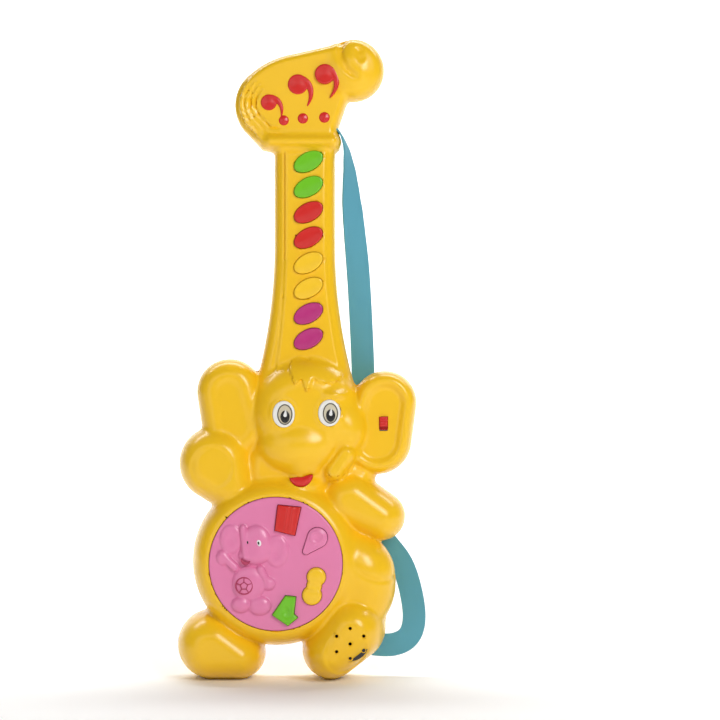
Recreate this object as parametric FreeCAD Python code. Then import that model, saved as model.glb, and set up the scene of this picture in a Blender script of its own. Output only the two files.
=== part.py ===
import FreeCAD, Part
import math
import os

from FreeCAD import Vector

# Toy electric guitar shaped as a standing elephant, in millimetres.
#
# The guitar's frame has +Z up along the neck, +X to the right of someone facing the elephant, and -Y out of
# its face. The origin is on the floor, under the middle of the box that holds the guitar without its
# strap. Two hollow shells meet at the parting plane; everything in front of it is placed by its depth
# ahead of that plane, and everything behind it by its depth behind.

# ---------------------------------------------------------------- driving sizes
FRONT_DEPTH = 34.0          # parting plane to the sole of the raised foot, the front-most face
BACK_DEPTH = 16.0           # parting plane to the flat back
WALL = 2.2                  # shell wall
FINEST_ROUND = 1.5          # an inside corner rounder than this is rounded, a finer one is left sharp
GAP = 0.3                   # clearance round a piece that moves or drops into an opening
SEAT = 0.3                  # clearance between faces that stop against each other
FIT = 0.1                   # clearance round a screw in its hole
PARTING_Y = (FRONT_DEPTH - BACK_DEPTH) / 2
SHARP = 2                   # the kind of outline offset that keeps corners sharp

# round lobes of the body: (x, z, radius); a pair of them is wrapped as by an elastic band
FOOT_TRIM = 0.4             # each foot lobe reaches this far under the floor before it is cut flat
BELLY_RADIUS = 51.0
BELLY_X = -12.0
BELLY_Z = BELLY_RADIUS + 19.8
BELLY_DEPTH = 27.0
BELLY_EDGE = 8.0
HIP = (22.4, 57.0, 37.0)
HIP_DEPTH = 24.0
CHEST = (-4.2, BELLY_Z + 54.6, 28.8)
CHEST_DEPTH = 16.0
LEFT_FOOT_HEEL = (-51.3, 20.7 - FOOT_TRIM, 20.7)
LEFT_FOOT_TOE = (-34.2, 15.0 - FOOT_TRIM, 15.0)
LEFT_FOOT_DEPTH = 28.0
RIGHT_FOOT_HEEL = (20.4, 17.4 - FOOT_TRIM, 17.4)
RIGHT_FOOT_TOE = (33.0, 30.6, 20.4)
FOOT_EDGE = 10.0
HEAD = (4.8, BELLY_Z + 87.6, 34.5)
JAW = (3.6, BELLY_Z + 61.2, 18.0)
HEAD_DEPTH = 24.0
HEAD_EDGE = 12.0
TRUNK = [(-8.4, 16.0, BELLY_Z + 67.2, 11.0), (5.4, 18.0, BELLY_Z + 63.0, 10.5),
         (28.8, 16.0, BELLY_Z + 71.4, 7.0)]
RIGHT_EAR = [(52.8, BELLY_Z + 94.8, 19.2), (48.0, BELLY_Z + 72.6, 21.0)]
LEFT_EAR = [(-40.8, BELLY_Z + 101.4, 19.8), (-36.6, BELLY_Z + 81.6, 21.0)]
EAR_DEPTH = 14.0
EAR_EDGE = 4.5
EAR_RIM = 6.0               # width of the raised rim round the dished ear
EAR_DISH = 2.5
RIGHT_ARM = [(31.8, BELLY_Z + 36.6, 17.4), (50.4, BELLY_Z + 26.4, 14.7)]
LEFT_ARM = [(-48.8, BELLY_Z + 58.4, 22.4), (-39.0, BELLY_Z + 44.4, 15.6)]
ARM_DEPTH = 22.0
ARM_EDGE = 9.0
PALM_RADIUS = 12.0
PALM_SINK = 0.9
BACK_EDGE = 6.0
HEAD_BACK = 14.0
EAR_BACK = 7.0
ARM_BACK = 10.0

# neck keys: tilted ovals in a row down the neck
KEY_COUNT = 8
KEY_LENGTH = 18.6
KEY_WIDTH = 11.0
KEY_TILT = 28.0             # degrees, outer end up
KEY_SPACE = 3.27            # clear length between neighbours, along the neck
KEY_PROUD = 1.8
KEY_TRAVEL = 1.4
KEY_OFFSET = 2.4            # keys lie this far to the right of the neck's middle
FLANGE = 1.2                # both the width and the thickness of a retaining flange
BOARD_THICK = 1.4
SHEET_THICK = 0.8           # silicone sheet under a set of buttons
DOME_HEIGHT = 1.2
DOME_RADIUS = 2.8

# neck, collar and headstock
NECK_X = 4.5
NECK_SIDE = 7.3             # from the keys' reach to the side of the neck
NECK_DEPTH = 12.0
NECK_BACK = 12.0
NECK_BEVEL = 4.5
NECK_FLARE_RADIUS = 330.0
NECK_FLARE_DROP = 80.0
NECK_ROOT_GAP = 11.1        # head lobe's top to the middle of the lowest key
NECK_TOP_GAP = 7.4          # middle of the highest key to the collar
COLLAR_X = 2.7
COLLAR_HALF = 23.7
COLLAR_HEIGHT = 10.2
COLLAR_DEPTH = 15.0
COLLAR_BACK = 12.0
HEADSTOCK_DEPTH = 12.0
HEADSTOCK_BACK = 9.0
HEADSTOCK_ROUND = 3.5
# left side of the headstock, up from the collar: (x, height over the collar's base)
HEADSTOCK_LEFT = [(-21.0, 3.0), (-31.8, 10.7), (-37.8, 26.0), (-34.6, 38.9), (-23.4, 49.0), (-4.2, 57.5)]
HEADSTOCK_RIGHT = (24.6, 12.8)
KNOB = (33.6, 49.1, 18.3)   # curled right end: x, height over the collar's base, radius
KNOB_DEPTH = 16.0
KNOB_EDGE = 5.0

# red crotchet shapes of the headstock: x, height over the collar's base, radius, way the tail points
CURLS = [(-16.8, 28.1, 4.8, -50.0), (0.6, 38.9, 6.0, -68.0), (16.8, 44.9, 6.0, -78.0)]
DOTS = [(-7.8, 17.3, 3.1), (3.6, 18.5, 3.2), (16.5, 19.1, 3.3)]
CURL_PROUD = 1.2
INSERT_PLATE = 1.2          # thickness of the plate behind a set of inserts

# belly disc and its shape buttons; outlines are (x, z) from the disc's middle
DISC_RADIUS = 39.5
DISC_THICK = 3.4
DISC_PROUD = 0.2
DISC_RING = 2.8             # width of the hidden ring that is welded to the shell
DISC_RING_LIP = 0.6         # how much of that ring lies under the disc
BUTTONS = ("block_button", "curl_button", "peanut_button", "wedge_button")
BUTTON_PROUD = 2.6
BUTTON_TRAVEL = 1.6
BUTTON_CORNER = 1.2
BLOCK_BUTTON = [(1.2, 35.0), (15.0, 33.6), (11.4, 16.8), (-0.6, 19.8)]
CURL_BUTTON = [(24.6, 15.6, 6.0), (17.9, 7.6, 2.0)]
PEANUT_BUTTON = [(24.0, -7.6, 5.6), (21.4, -18.4, 5.8)]
WEDGE_BUTTON = [(5.7, -18.6), (12.0, -19.2), (10.8, -29.4), (13.2, -31.6), (7.2, -36.4), (-2.1, -30.0)]
# calf relief moulded on the disc: (x, z, radius, height over the disc)
CALF = [(-12.0, 9.6, 8.4, 2.4), (-24.0, 12.6, 6.6, 1.4), (-2.4, 10.8, 5.4, 1.4), (-15.6, -13.2, 9.6, 2.4),
        (-21.6, -25.2, 5.4, 1.8), (-8.4, -27.6, 6.0, 1.8), (-27.0, -4.8, 4.8, 1.6), (-4.8, -6.6, 4.8, 1.6),
        (-20.4, 20.4, 4.2, 1.6)]
BOARD_RADIUS = 36.5
BOARD_POSTS = [(-27.0, 14.0), (-25.0, -19.0), (7.0, 3.0), (33.5, -1.0)]
POST_RADIUS = 3.2
SMALL_POST_RADIUS = 2.0
SMALL_SCREW_RADIUS = 1.0
SMALL_SCREW_LENGTH = 5.0
SMALL_HEAD_RADIUS = 1.9
SMALL_HEAD = 1.3

# face
EYES = {"left_eye": (-7.4, BELLY_Z + 88.5), "right_eye": (19.6, BELLY_Z + 89.2)}
EYE_HALF = (6.6, 7.9)
PUPIL_HALF = (4.2, 5.8)
EYE_PROUD = 0.6
PUPIL_DEEP = 1.0
MOUTH = (2.4, BELLY_Z + 48.4)
MOUTH_HALF = 6.4
MOUTH_DROP = 3.6
MOUTH_FRONT = 22.6          # the mouth is a plug between these two depths
MOUTH_BACK = 15.0

# ear switch
SWITCH = (51.9, BELLY_Z + 83.7)
SWITCH_WIDTH = 5.0
SWITCH_HEIGHT = 6.0
SWITCH_TRAVEL = 2.4
SWITCH_PROUD = 1.5
SWITCH_CAN = (9.0, 16.0, 3.6)       # metal body: width, height, thickness
SWITCH_BOARD = (10.0, 30.0)
SWITCH_POSTS = 12.0                 # from the switch's middle to each of its two posts

# speaker in the raised foot
SPEAKER = (32.0, 24.4)
SPEAKER_RADIUS = 11.0
SPEAKER_RIM = 1.5
SPEAKER_DROP = 4.3          # speaker's front, behind the inside of the sole
SPEAKER_HEIGHT = 4.0
CONE_RADIUS = 5.0           # small end of the cone
SURROUND_THICK = 0.4
BASKET_FOOT = 1.6           # flat of the basket that shows round the magnet
MAGNET_RADIUS = 7.0
MAGNET_HEIGHT = 5.0
CLAMP_THICK = 1.6
CLAMP_REACH = 14.6          # from the speaker's middle to each clamp screw
CLAMP_TILT = 46.0           # degrees, the clamp's length from +X towards +Z
SOUND_HOLE_RADIUS = 1.0
SOUND_RING_RADIUS = 9.2
SOUND_HOLES = 6

# battery box in the back shell: cells side by side, upright
CELL_RADIUS = 7.1
CELL_LENGTH = 50.0
CELL_PITCH = 14.8
CELL_COUNT = 3
NIPPLE_RADIUS = 2.6
NIPPLE_HEIGHT = 1.2
CONTACT_ROOM = 4.0          # at each end of the cells
SPRING_WIRE = 0.5           # radius of the wire
SPRING_RADIUS = 3.0
SPRING_TURNS = 4
PLATE_THICK = 0.4
STUD_RADIUS = 2.4
BOX_WALL = 1.8
DOOR_THICK = 2.0
DOOR_LEDGE = 2.4
DOOR_LUG = 6.0              # tab for each screw, beyond the ledge
DOOR_CORNER = 3.0
DOOR_LIFT = 30.0

# screws that join the shells
SCREW_RADIUS = 1.3
SCREW_HEAD_RADIUS = 2.8
SCREW_HEAD = 2.0
SCREW_BITE = 8.0            # length of thread ahead of the parting plane
SCREW_SEAT = 1.0            # plastic between the parting plane and a screw's head
WELL_WALL = 1.4
DOOR_SCREW_LENGTH = 9.0
DOOR_SCREW_HEAD = 1.2

# strap: a flat ribbon whose route is straight runs joined by arcs
STRAP_WIDTH = 14.0
STRAP_THICK = 1.0
STRAP_ROOM = 0.7            # clearance round the strap in its slots
ANCHOR = 2.0                # half the thickness of the bar that each end is fixed to
ANCHOR_HEIGHT = 8.0         # of the lower bar
# x, y, z of each point of the route, and the angle of the ribbon's width from +Y towards the front view
STRAP_ROUTE = [(15.0, 9.0, 336.0, 0.0), (24.0, 9.0, 331.5, 0.0), (29.5, 9.5, 322.0, 8.0),
               (31.4, 10.5, 306.0, 30.0), (33.2, 12.0, 281.0, 62.0), (36.6, 15.0, 248.0, 84.0),
               (38.6, 19.2, 212.0, 90.0), (40.0, 22.8, 177.0, 90.0), (38.8, 24.6, 150.0, 90.0),
               (37.2, 25.4, 124.0, 90.0), (39.2, 26.0, 106.0, 90.0), (45.5, 26.2, 89.5, 90.0),
               (55.5, 26.0, 77.5, 90.0), (64.0, 25.0, 67.0, 90.0), (69.3, 21.6, 50.0, 90.0),
               (71.4, 17.6, 33.5, 90.0), (68.2, 16.2, 23.0, 90.0), (59.8, 15.6, 18.4, 90.0),
               (49.4, 15.2, 18.2, 90.0), (39.2, 14.6, 19.9, 90.0)]
STRAP_STEP = 3.0            # spacing of the ribbon's sections

# wiring
WIRE_RADIUS = 0.6
WIRE_SPREAD = 1.2           # half the distance between the two wires of a pair
WIRE_LEAD = 4.0             # straight length where a wire leaves its joint
RIBBON_CABLE = (7.0, 0.8)

# ---------------------------------------------------------------- sizes that follow
KEY_ALONG = 2 / math.hypot(math.sin(math.radians(KEY_TILT)) / (KEY_LENGTH / 2),
                           math.cos(math.radians(KEY_TILT)) / (KEY_WIDTH / 2))
KEY_PITCH = KEY_ALONG + KEY_SPACE
KEY_REACH = math.hypot(KEY_LENGTH / 2 * math.cos(math.radians(KEY_TILT)),
                       KEY_WIDTH / 2 * math.sin(math.radians(KEY_TILT)))
NECK_HALF = KEY_OFFSET + KEY_REACH + NECK_SIDE
KEY_X = NECK_X + KEY_OFFSET
LOWEST_KEY_Z = HEAD[1] + HEAD[2] + NECK_ROOT_GAP
HIGHEST_KEY_Z = LOWEST_KEY_Z + (KEY_COUNT - 1) * KEY_PITCH
COLLAR_Z = HIGHEST_KEY_Z + NECK_TOP_GAP
KEY_FLANGE_TOP = NECK_DEPTH - WALL - SEAT
KEY_FLANGE_LOW = KEY_FLANGE_TOP - FLANGE
KEY_DOME_TOP = KEY_FLANGE_LOW - KEY_TRAVEL - SEAT
KEY_SHEET_LOW = KEY_DOME_TOP - DOME_HEIGHT - SHEET_THICK
DISC_TOP = BELLY_DEPTH + DISC_PROUD
DISC_LOW = DISC_TOP - DISC_THICK
BUTTON_FLANGE_TOP = DISC_LOW - SEAT
BUTTON_FLANGE_LOW = BUTTON_FLANGE_TOP - FLANGE
BUTTON_DOME_TOP = BUTTON_FLANGE_LOW - BUTTON_TRAVEL - SEAT
BOARD_TOP = BUTTON_DOME_TOP - DOME_HEIGHT - SHEET_THICK
BOARD_LOW = BOARD_TOP - BOARD_THICK
EAR_FACE = EAR_DEPTH - EAR_DISH
SWITCH_FLANGE_LOW = EAR_FACE - WALL - SEAT - FLANGE
SWITCH_CAN_TOP = SWITCH_FLANGE_LOW - SEAT
SWITCH_BOARD_TOP = SWITCH_CAN_TOP - SWITCH_CAN[2]
SPEAKER_TOP = FRONT_DEPTH - WALL - SPEAKER_DROP
SPEAKER_LOW = SPEAKER_TOP - SPEAKER_HEIGHT
PLUG_BLOCK = (BELLY_X + 6.0, BELLY_Z + 31.5)    # ribbon socket on the back of the main board
CLAMP_WAY = (math.cos(math.radians(CLAMP_TILT)), math.sin(math.radians(CLAMP_TILT)))
CLAMP_PLACES = [(SPEAKER[0] + s * CLAMP_REACH * CLAMP_WAY[0], SPEAKER[1] + s * CLAMP_REACH * CLAMP_WAY[1])
                for s in (1, -1)]
DOOR_IN = DOOR_THICK - BACK_DEPTH           # depth of the battery door's inner face
CELL_DEPTH = DOOR_IN + CELL_RADIUS + GAP
BOX_DEEP = CELL_DEPTH + CELL_RADIUS + GAP   # depth of the battery box's inner face
BOX_WIDE = CELL_COUNT * CELL_PITCH + GAP
BOX_TALL = CELL_LENGTH + 2 * CONTACT_ROOM
DOOR_WIDE = BOX_WIDE + 2 * DOOR_LEDGE
DOOR_TALL = BOX_TALL + 2 * DOOR_LEDGE
CELLS = [BELLY_X + (n - (CELL_COUNT - 1) / 2) * CELL_PITCH for n in range(CELL_COUNT)]
DOOR_SCREWS = [BELLY_Z + s * (DOOR_TALL / 2 + DOOR_LUG / 2) for s in (1, -1)]
KEYS = [HIGHEST_KEY_Z - n * KEY_PITCH for n in range(KEY_COUNT)]
KEY_BOARD_HALF = NECK_HALF - WALL - 1.4
KEY_POST_INSET = 2.4        # from the board's edge to the middle of a post
KEY_BOARD_POSTS = [(NECK_X + s * (KEY_BOARD_HALF - KEY_POST_INSET), z - KEY_PITCH * 0.35)
                   for z in (KEYS[0], KEYS[-2]) for s in (1, -1)]
KEY_BOARD_REACH = KEY_WIDTH / 2 + FLANGE + 1.0
SCREWS = [
    (KNOB[0] + 1.5, COLLAR_Z + KNOB[1]),
    (HEADSTOCK_LEFT[2][0] + 9.6, COLLAR_Z + HEADSTOCK_LEFT[2][1] - 6.0),
    (NECK_X - 7.0, COLLAR_Z + COLLAR_HEIGHT / 2),
    (NECK_X, HEAD[1] + HEAD[2] - 8.0),
    (LEFT_EAR[0][0] - 8.0, LEFT_EAR[0][1] + 4.0),
    (RIGHT_EAR[0][0] + 8.0, RIGHT_EAR[0][1] + 5.0),
    (LEFT_ARM[0][0] - 4.0, LEFT_ARM[0][1] - 6.0),
    (RIGHT_ARM[1][0], RIGHT_ARM[1][1]),
    (LEFT_FOOT_HEEL[0], LEFT_FOOT_HEEL[1]),
    (HIP[0] + 23.0, HIP[1] + 6.0),
]


# ---------------------------------------------------------------- shape helpers
def ahead(depth):
    """Y of a face that lies this far ahead of the parting plane; a negative depth is behind it."""
    return PARTING_Y - depth


def cylinder(x, z, radius, low, high):
    """A cylinder along Y between two depths ahead of the parting plane."""
    return Part.makeCylinder(radius, high - low, Vector(x, ahead(high), z), Vector(0, 1, 0))


def cone(x, z, low_radius, high_radius, low, high):
    return Part.makeCone(high_radius, low_radius, high - low, Vector(x, ahead(high), z), Vector(0, 1, 0))


def block(x, z, wide, tall, low, high):
    """A box centred on x, z between two depths ahead of the parting plane."""
    return Part.makeBox(wide, high - low, tall, Vector(x - wide / 2, ahead(high), z - tall / 2))


def prism(face, low, high):
    """A flat face drawn at y = 0 in X and Z, given its thickness between two depths."""
    flat = face.copy()
    flat.translate(Vector(0, ahead(high), 0))
    return flat.extrude(Vector(0, high - low, 0))


def closed_face(edges):
    """A face inside edges that meet end to end."""
    return Part.Face(Part.Wire(Part.__sortEdges__(edges)))


def arc(a, b, c):
    """An edge from a to c through b, each an (x, z) pair."""
    return Part.Arc(Vector(a[0], 0, a[1]), Vector(b[0], 0, b[1]), Vector(c[0], 0, c[1])).toShape()


def line(a, b):
    return Part.LineSegment(Vector(a[0], 0, a[1]), Vector(b[0], 0, b[1])).toShape()


def on_circle(x, z, radius, degrees):
    """The point of a circle at an angle from +X towards +Z."""
    turn = math.radians(degrees)
    return (x + radius * math.cos(turn), z + radius * math.sin(turn))


def disc_face(x, z, radius):
    return Part.Face(Part.Wire(Part.makeCircle(radius, Vector(x, 0, z), Vector(0, 1, 0))))


def oval_face(x, z, half_long, half_short, degrees):
    """An ellipse turned from +X towards +Z."""
    if half_long < half_short:
        return oval_face(x, z, half_short, half_long, degrees + 90.0)
    centre = Vector(x, 0, z)
    long_way = Vector(math.cos(math.radians(degrees)), 0, math.sin(math.radians(degrees)))
    short_way = Vector(-long_way.z, 0, long_way.x)
    oval = Part.Ellipse(centre + long_way * half_long, centre + short_way * half_short, centre)
    return Part.Face(Part.Wire(oval.toShape()))


def hull_face(a, b):
    """The outline round two circles (x, z, radius), as an elastic band would lie."""
    gap = math.hypot(b[0] - a[0], b[1] - a[1])
    if gap <= abs(a[2] - b[2]):
        return disc_face(*max(a, b, key=lambda circle: circle[2]))
    along = math.degrees(math.atan2(b[1] - a[1], b[0] - a[0]))
    lean = math.degrees(math.acos((a[2] - b[2]) / gap))
    a_one, a_two = on_circle(*a, along + lean), on_circle(*a, along - lean)
    b_one, b_two = on_circle(*b, along + lean), on_circle(*b, along - lean)
    return closed_face([arc(a_one, on_circle(*a, along + 180), a_two), line(a_two, b_two),
                        arc(b_two, on_circle(*b, along), b_one), line(b_one, a_one)])


def polygon_face(points):
    """A flat face with straight sides, from (x, z) points in order."""
    return closed_face([line(a, b) for a, b in zip(points, points[1:] + points[:1])])


def box_face(x, z, wide, tall, corner):
    """A rectangle with round corners."""
    w, t = wide / 2 - corner, tall / 2 - corner
    return polygon_face([(x - w, z - t), (x + w, z - t), (x + w, z + t),
                         (x - w, z + t)]).makeOffset2D(corner)


def round_polygon(points, corner):
    """A polygon whose corners are rounded."""
    return polygon_face(points).makeOffset2D(-corner, SHARP).makeOffset2D(corner)


def lip_edges(solid, y):
    """The outer edges of the flat face at this y."""
    for face in solid.Faces:
        box = face.BoundBox
        if abs(box.YMin - y) < 1e-4 and abs(box.YMax - y) < 1e-4:
            return face.OuterWire.Edges
    raise ValueError("no flat face at y %.3f" % y)


def lobe(face, depth, edge, side, inset):
    """A rounded pad standing on the parting plane. side is 1 ahead of it and -1 behind it.

    With an inset it is the hollow inside that pad, run a little through the parting plane."""
    through = 1.0 if inset else 0.0
    if inset:
        face = face.makeOffset2D(-inset, SHARP)
    top = depth - inset
    if side > 0:
        solid = prism(face, -through, top)
    else:
        solid = prism(face, -top, through)
    if edge - inset < FINEST_ROUND:
        return solid
    return solid.makeFillet(edge - inset, lip_edges(solid, ahead(side * top)))


def domed(face, low, high, edge):
    """A pad between two depths whose front edge is rounded."""
    solid = prism(face, low, high)
    return solid.makeFillet(edge, lip_edges(solid, ahead(high)))


def fuse_all(shapes):
    """One solid from many that overlap, joined one at a time."""
    whole = shapes[0]
    for shape in shapes[1:]:
        whole = whole.fuse(shape)
    return whole.removeSplitter()


def cut_all(solid, tools):
    for tool in tools:
        solid = solid.cut(tool)
    return solid


def raised(circle):
    """A circle given by its height over the collar's base, in the guitar's frame."""
    return (circle[0], circle[1] + COLLAR_Z) + tuple(circle[2:])


def on_disc(points):
    """Points or circles given from the belly disc's middle, in the guitar's frame."""
    return [(point[0] + BELLY_X, point[1] + BELLY_Z) + tuple(point[2:]) for point in points]


# ---------------------------------------------------------------- outlines
def neck_face():
    """Straight down from the collar, then flared into the head."""
    top = COLLAR_Z + COLLAR_HEIGHT / 2
    low = HEAD[1] + HEAD[2] * 0.7
    bend = low + NECK_FLARE_DROP
    flare = NECK_FLARE_RADIUS
    wide = flare - math.sqrt(flare ** 2 - NECK_FLARE_DROP ** 2)
    half_way = flare - math.sqrt(flare ** 2 - (NECK_FLARE_DROP / 2) ** 2)
    left, right = NECK_X - NECK_HALF, NECK_X + NECK_HALF
    mid = bend - NECK_FLARE_DROP / 2
    return closed_face([
        line((left, top), (left, bend)), arc((left, bend), (left - half_way, mid), (left - wide, low)),
        line((left - wide, low), (right + wide, low)),
        arc((right + wide, low), (right + half_way, mid), (right, bend)),
        line((right, bend), (right, top)), line((right, top), (left, top))])


def headstock_face():
    """Up the right side, round the curled end, along the sloping top and down round the left."""
    kx, kz, kr = raised(KNOB)
    root, low_bend, far_left, high_bend, shoulder, crest = [raised(point) for point in HEADSTOCK_LEFT]
    right = raised(HEADSTOCK_RIGHT)
    right_root = (right[0], COLLAR_Z + COLLAR_HEIGHT / 2)
    left_root = (root[0], COLLAR_Z + COLLAR_HEIGHT / 2)
    knob_low, knob_high = on_circle(kx, kz, kr, -98), on_circle(kx, kz, kr, 112)
    return closed_face([
        line(right_root, right), line(right, knob_low), arc(knob_low, on_circle(kx, kz, kr, 7), knob_high),
        line(knob_high, crest), arc(crest, shoulder, high_bend), arc(high_bend, far_left, low_bend),
        line(low_bend, left_root), line(left_root, right_root)])


def collar_face():
    """A bar with round ends."""
    radius = COLLAR_HEIGHT / 2
    z = COLLAR_Z + radius
    return hull_face((COLLAR_X - COLLAR_HALF + radius, z, radius),
                     (COLLAR_X + COLLAR_HALF - radius, z, radius))


def curl_faces(x, z, radius, turn):
    """A round head and a tail that tapers to a point."""
    neck_out, neck_in = on_circle(x, z, radius * 0.9, turn + 130), on_circle(x, z, radius * 0.9, turn + 15)
    tip = on_circle(x, z, radius * 2.35, turn)
    outer, inner = on_circle(x, z, radius * 1.32, turn + 45), on_circle(x, z, radius * 1.35, turn + 14)
    tail = closed_face([arc(neck_out, outer, tip), arc(tip, inner, neck_in), line(neck_in, neck_out)])
    return [disc_face(x, z, radius), tail]


def mouth_face():
    """A half-moon, flat side up."""
    x, z = MOUTH
    top_left, top_right = (x - MOUTH_HALF, z + MOUTH_DROP), (x + MOUTH_HALF, z + MOUTH_DROP)
    return closed_face([line(top_left, top_right), arc(top_right, (x, z - MOUTH_DROP), top_left)])


def door_face(room):
    """The battery door's plate and the bar with a screw tab at each end, grown by a clearance."""
    plate = box_face(BELLY_X, BELLY_Z, DOOR_WIDE + 2 * room, DOOR_TALL + 2 * room, DOOR_CORNER + room)
    tabs = hull_face((BELLY_X, DOOR_SCREWS[0], DOOR_LUG + room), (BELLY_X, DOOR_SCREWS[1], DOOR_LUG + room))
    return plate, tabs


def door_prism(room, low, high):
    plate, tabs = door_face(room)
    return prism(plate, low, high).fuse(prism(tabs, low, high)).removeSplitter()


# ---------------------------------------------------------------- shells
def neck_body(side, inset):
    """The neck, bevelled along its front edges and rounded along its back ones."""
    through = 1.0 if inset else 0.0
    face = neck_face().makeOffset2D(-inset) if inset else neck_face()
    if side > 0:
        solid = prism(face, -through, NECK_DEPTH - inset)
        y = ahead(NECK_DEPTH - inset)
    else:
        solid = prism(face, -NECK_BACK + inset, through)
        y = ahead(-NECK_BACK + inset)
    long_edges = [e for e in lip_edges(solid, y) if e.BoundBox.ZLength > e.BoundBox.XLength]
    if side > 0:
        return solid.makeChamfer(NECK_BEVEL - inset * 0.4, long_edges)
    return solid.makeFillet(NECK_BACK - inset - 2.0, long_edges)


def ear(circles, side, inset):
    """An ear; ahead of the parting plane it is dished inside a raised rim."""
    face = hull_face(*circles)
    if side < 0:
        return lobe(face, EAR_BACK, EAR_EDGE, side, inset)
    if inset:
        return lobe(face, EAR_FACE, EAR_EDGE, side, inset)
    dish = prism(face.makeOffset2D(-EAR_RIM), EAR_FACE, EAR_DEPTH + 1.0)
    return lobe(face, EAR_DEPTH, EAR_EDGE, side, inset).cut(dish)


def left_arm(side, inset):
    """The raised arm, with a shallow round palm in its front."""
    if side < 0:
        return lobe(hull_face(*LEFT_ARM), ARM_BACK, BACK_EDGE, side, inset)
    if inset:
        return lobe(hull_face(*LEFT_ARM), ARM_DEPTH - PALM_SINK, ARM_EDGE, side, inset)
    palm = cylinder(LEFT_ARM[0][0], LEFT_ARM[0][1], PALM_RADIUS, ARM_DEPTH - PALM_SINK, ARM_DEPTH + 1.0)
    return lobe(hull_face(*LEFT_ARM), ARM_DEPTH, ARM_EDGE, side, inset).cut(palm)


def limb(start, end):
    """A tapered round-ended bar between two (x, depth, z, radius) points."""
    a, b = Vector(start[0], ahead(start[1]), start[2]), Vector(end[0], ahead(end[1]), end[2])
    ra, rb = start[3], end[3]
    gap = (b - a).Length
    lean = math.acos((ra - rb) / gap)
    across = [(-ra, 0.0), (ra * math.cos(lean), ra * math.sin(lean)),
              (gap + rb * math.cos(lean), rb * math.sin(lean)), (gap + rb, 0.0)]
    mid_a = (ra * math.cos((lean + math.pi) / 2), ra * math.sin((lean + math.pi) / 2))
    mid_b = (gap + rb * math.cos(lean / 2), rb * math.sin(lean / 2))
    edges = [arc(across[0], mid_a, across[1]), line(across[1], across[2]),
             arc(across[2], mid_b, across[3]), line(across[3], across[0])]
    solid = closed_face(edges).revolve(Vector(0, 0, 0), Vector(1, 0, 0), 360)
    solid.Placement = FreeCAD.Placement(a, FreeCAD.Rotation(Vector(1, 0, 0), b - a))
    return solid


def body_lobes(side, inset):
    """Every lobe of one shell, whole or as the hollow inside it."""
    def pad(face, front_depth, back_depth, edge):
        if side > 0:
            return lobe(face, front_depth, edge, side, inset)
        return lobe(face, back_depth, min(BACK_EDGE, edge, back_depth - 1.0), side, inset)

    lobes = [
        pad(disc_face(BELLY_X, BELLY_Z, BELLY_RADIUS), BELLY_DEPTH, BACK_DEPTH, BELLY_EDGE),
        pad(disc_face(*HIP), HIP_DEPTH, BACK_DEPTH, FOOT_EDGE),
        pad(disc_face(*CHEST), CHEST_DEPTH, HEAD_BACK, BACK_EDGE),
        pad(hull_face(LEFT_FOOT_HEEL, LEFT_FOOT_TOE), LEFT_FOOT_DEPTH, BACK_DEPTH, FOOT_EDGE),
        pad(hull_face(RIGHT_FOOT_HEEL, RIGHT_FOOT_TOE), FRONT_DEPTH, BACK_DEPTH, FOOT_EDGE),
        pad(hull_face(HEAD, JAW), HEAD_DEPTH, HEAD_BACK, HEAD_EDGE),
        ear(RIGHT_EAR, side, inset),
        ear(LEFT_EAR, side, inset),
        pad(hull_face(*RIGHT_ARM), ARM_DEPTH, ARM_BACK, ARM_EDGE),
        left_arm(side, inset),
        neck_body(side, inset),
        pad(collar_face(), COLLAR_DEPTH, COLLAR_BACK, 4.0),
        pad(headstock_face(), HEADSTOCK_DEPTH, HEADSTOCK_BACK, HEADSTOCK_ROUND),
    ]
    if side > 0:
        lobes.append(lobe(disc_face(*raised(KNOB)), KNOB_DEPTH, KNOB_EDGE, side, inset))
        points = [(x, depth, z, radius - inset) for x, depth, z, radius in TRUNK]
        lobes += [limb(points[0], points[1]), limb(points[1], points[2])]
    return lobes


def half_space(side):
    """Everything above the floor on one side of the parting plane."""
    size = 600.0
    y = PARTING_Y - size if side > 0 else PARTING_Y
    return Part.makeBox(2 * size, size, 2 * size, Vector(-size, y, 0))


def floor_slab():
    """The bottom wall of each foot, where the hollow comes too near the flat it stands on."""
    return Part.makeBox(400, 400, WALL, Vector(-200, -200, 0))


def key_face(z, grow):
    return oval_face(KEY_X, z, KEY_LENGTH / 2 + grow, KEY_WIDTH / 2 + grow, KEY_TILT)


def front_holes():
    """Openings through the front shell, each as large as what fits it and its clearance."""
    holes = [prism(key_face(z, GAP), 0, FRONT_DEPTH) for z in KEYS]
    holes += [cylinder(BELLY_X, BELLY_Z, DISC_RADIUS + GAP, DISC_LOW - 1.0, FRONT_DEPTH)]
    holes += [cylinder(BELLY_X, BELLY_Z, DISC_RADIUS + DISC_RING + GAP, BOARD_LOW, BELLY_DEPTH - WALL)]
    holes += [prism(oval_face(x, z, EYE_HALF[0] + GAP, EYE_HALF[1] + GAP, 0), HEAD_DEPTH - WALL - 1.0,
                    FRONT_DEPTH)
              for x, z in EYES.values()]
    holes += [prism(mouth_face(), MOUTH_BACK, FRONT_DEPTH)]
    for curl in CURLS:
        holes += [prism(face.makeOffset2D(GAP / 2), 0, FRONT_DEPTH) for face in curl_faces(*raised(curl))]
    holes += [prism(disc_face(x, z, radius + GAP / 2), 0, FRONT_DEPTH)
              for x, z, radius in map(raised, DOTS)]
    holes += [block(SWITCH[0], SWITCH[1] - SWITCH_TRAVEL / 2, SWITCH_WIDTH + 2 * GAP,
                    SWITCH_HEIGHT + SWITCH_TRAVEL + 2 * GAP, EAR_FACE - WALL - 1.0, FRONT_DEPTH)]
    holes += [cylinder(x, z, SOUND_HOLE_RADIUS, SPEAKER_TOP, FRONT_DEPTH + 1.0) for x, z in sound_places()]
    return holes


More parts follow.
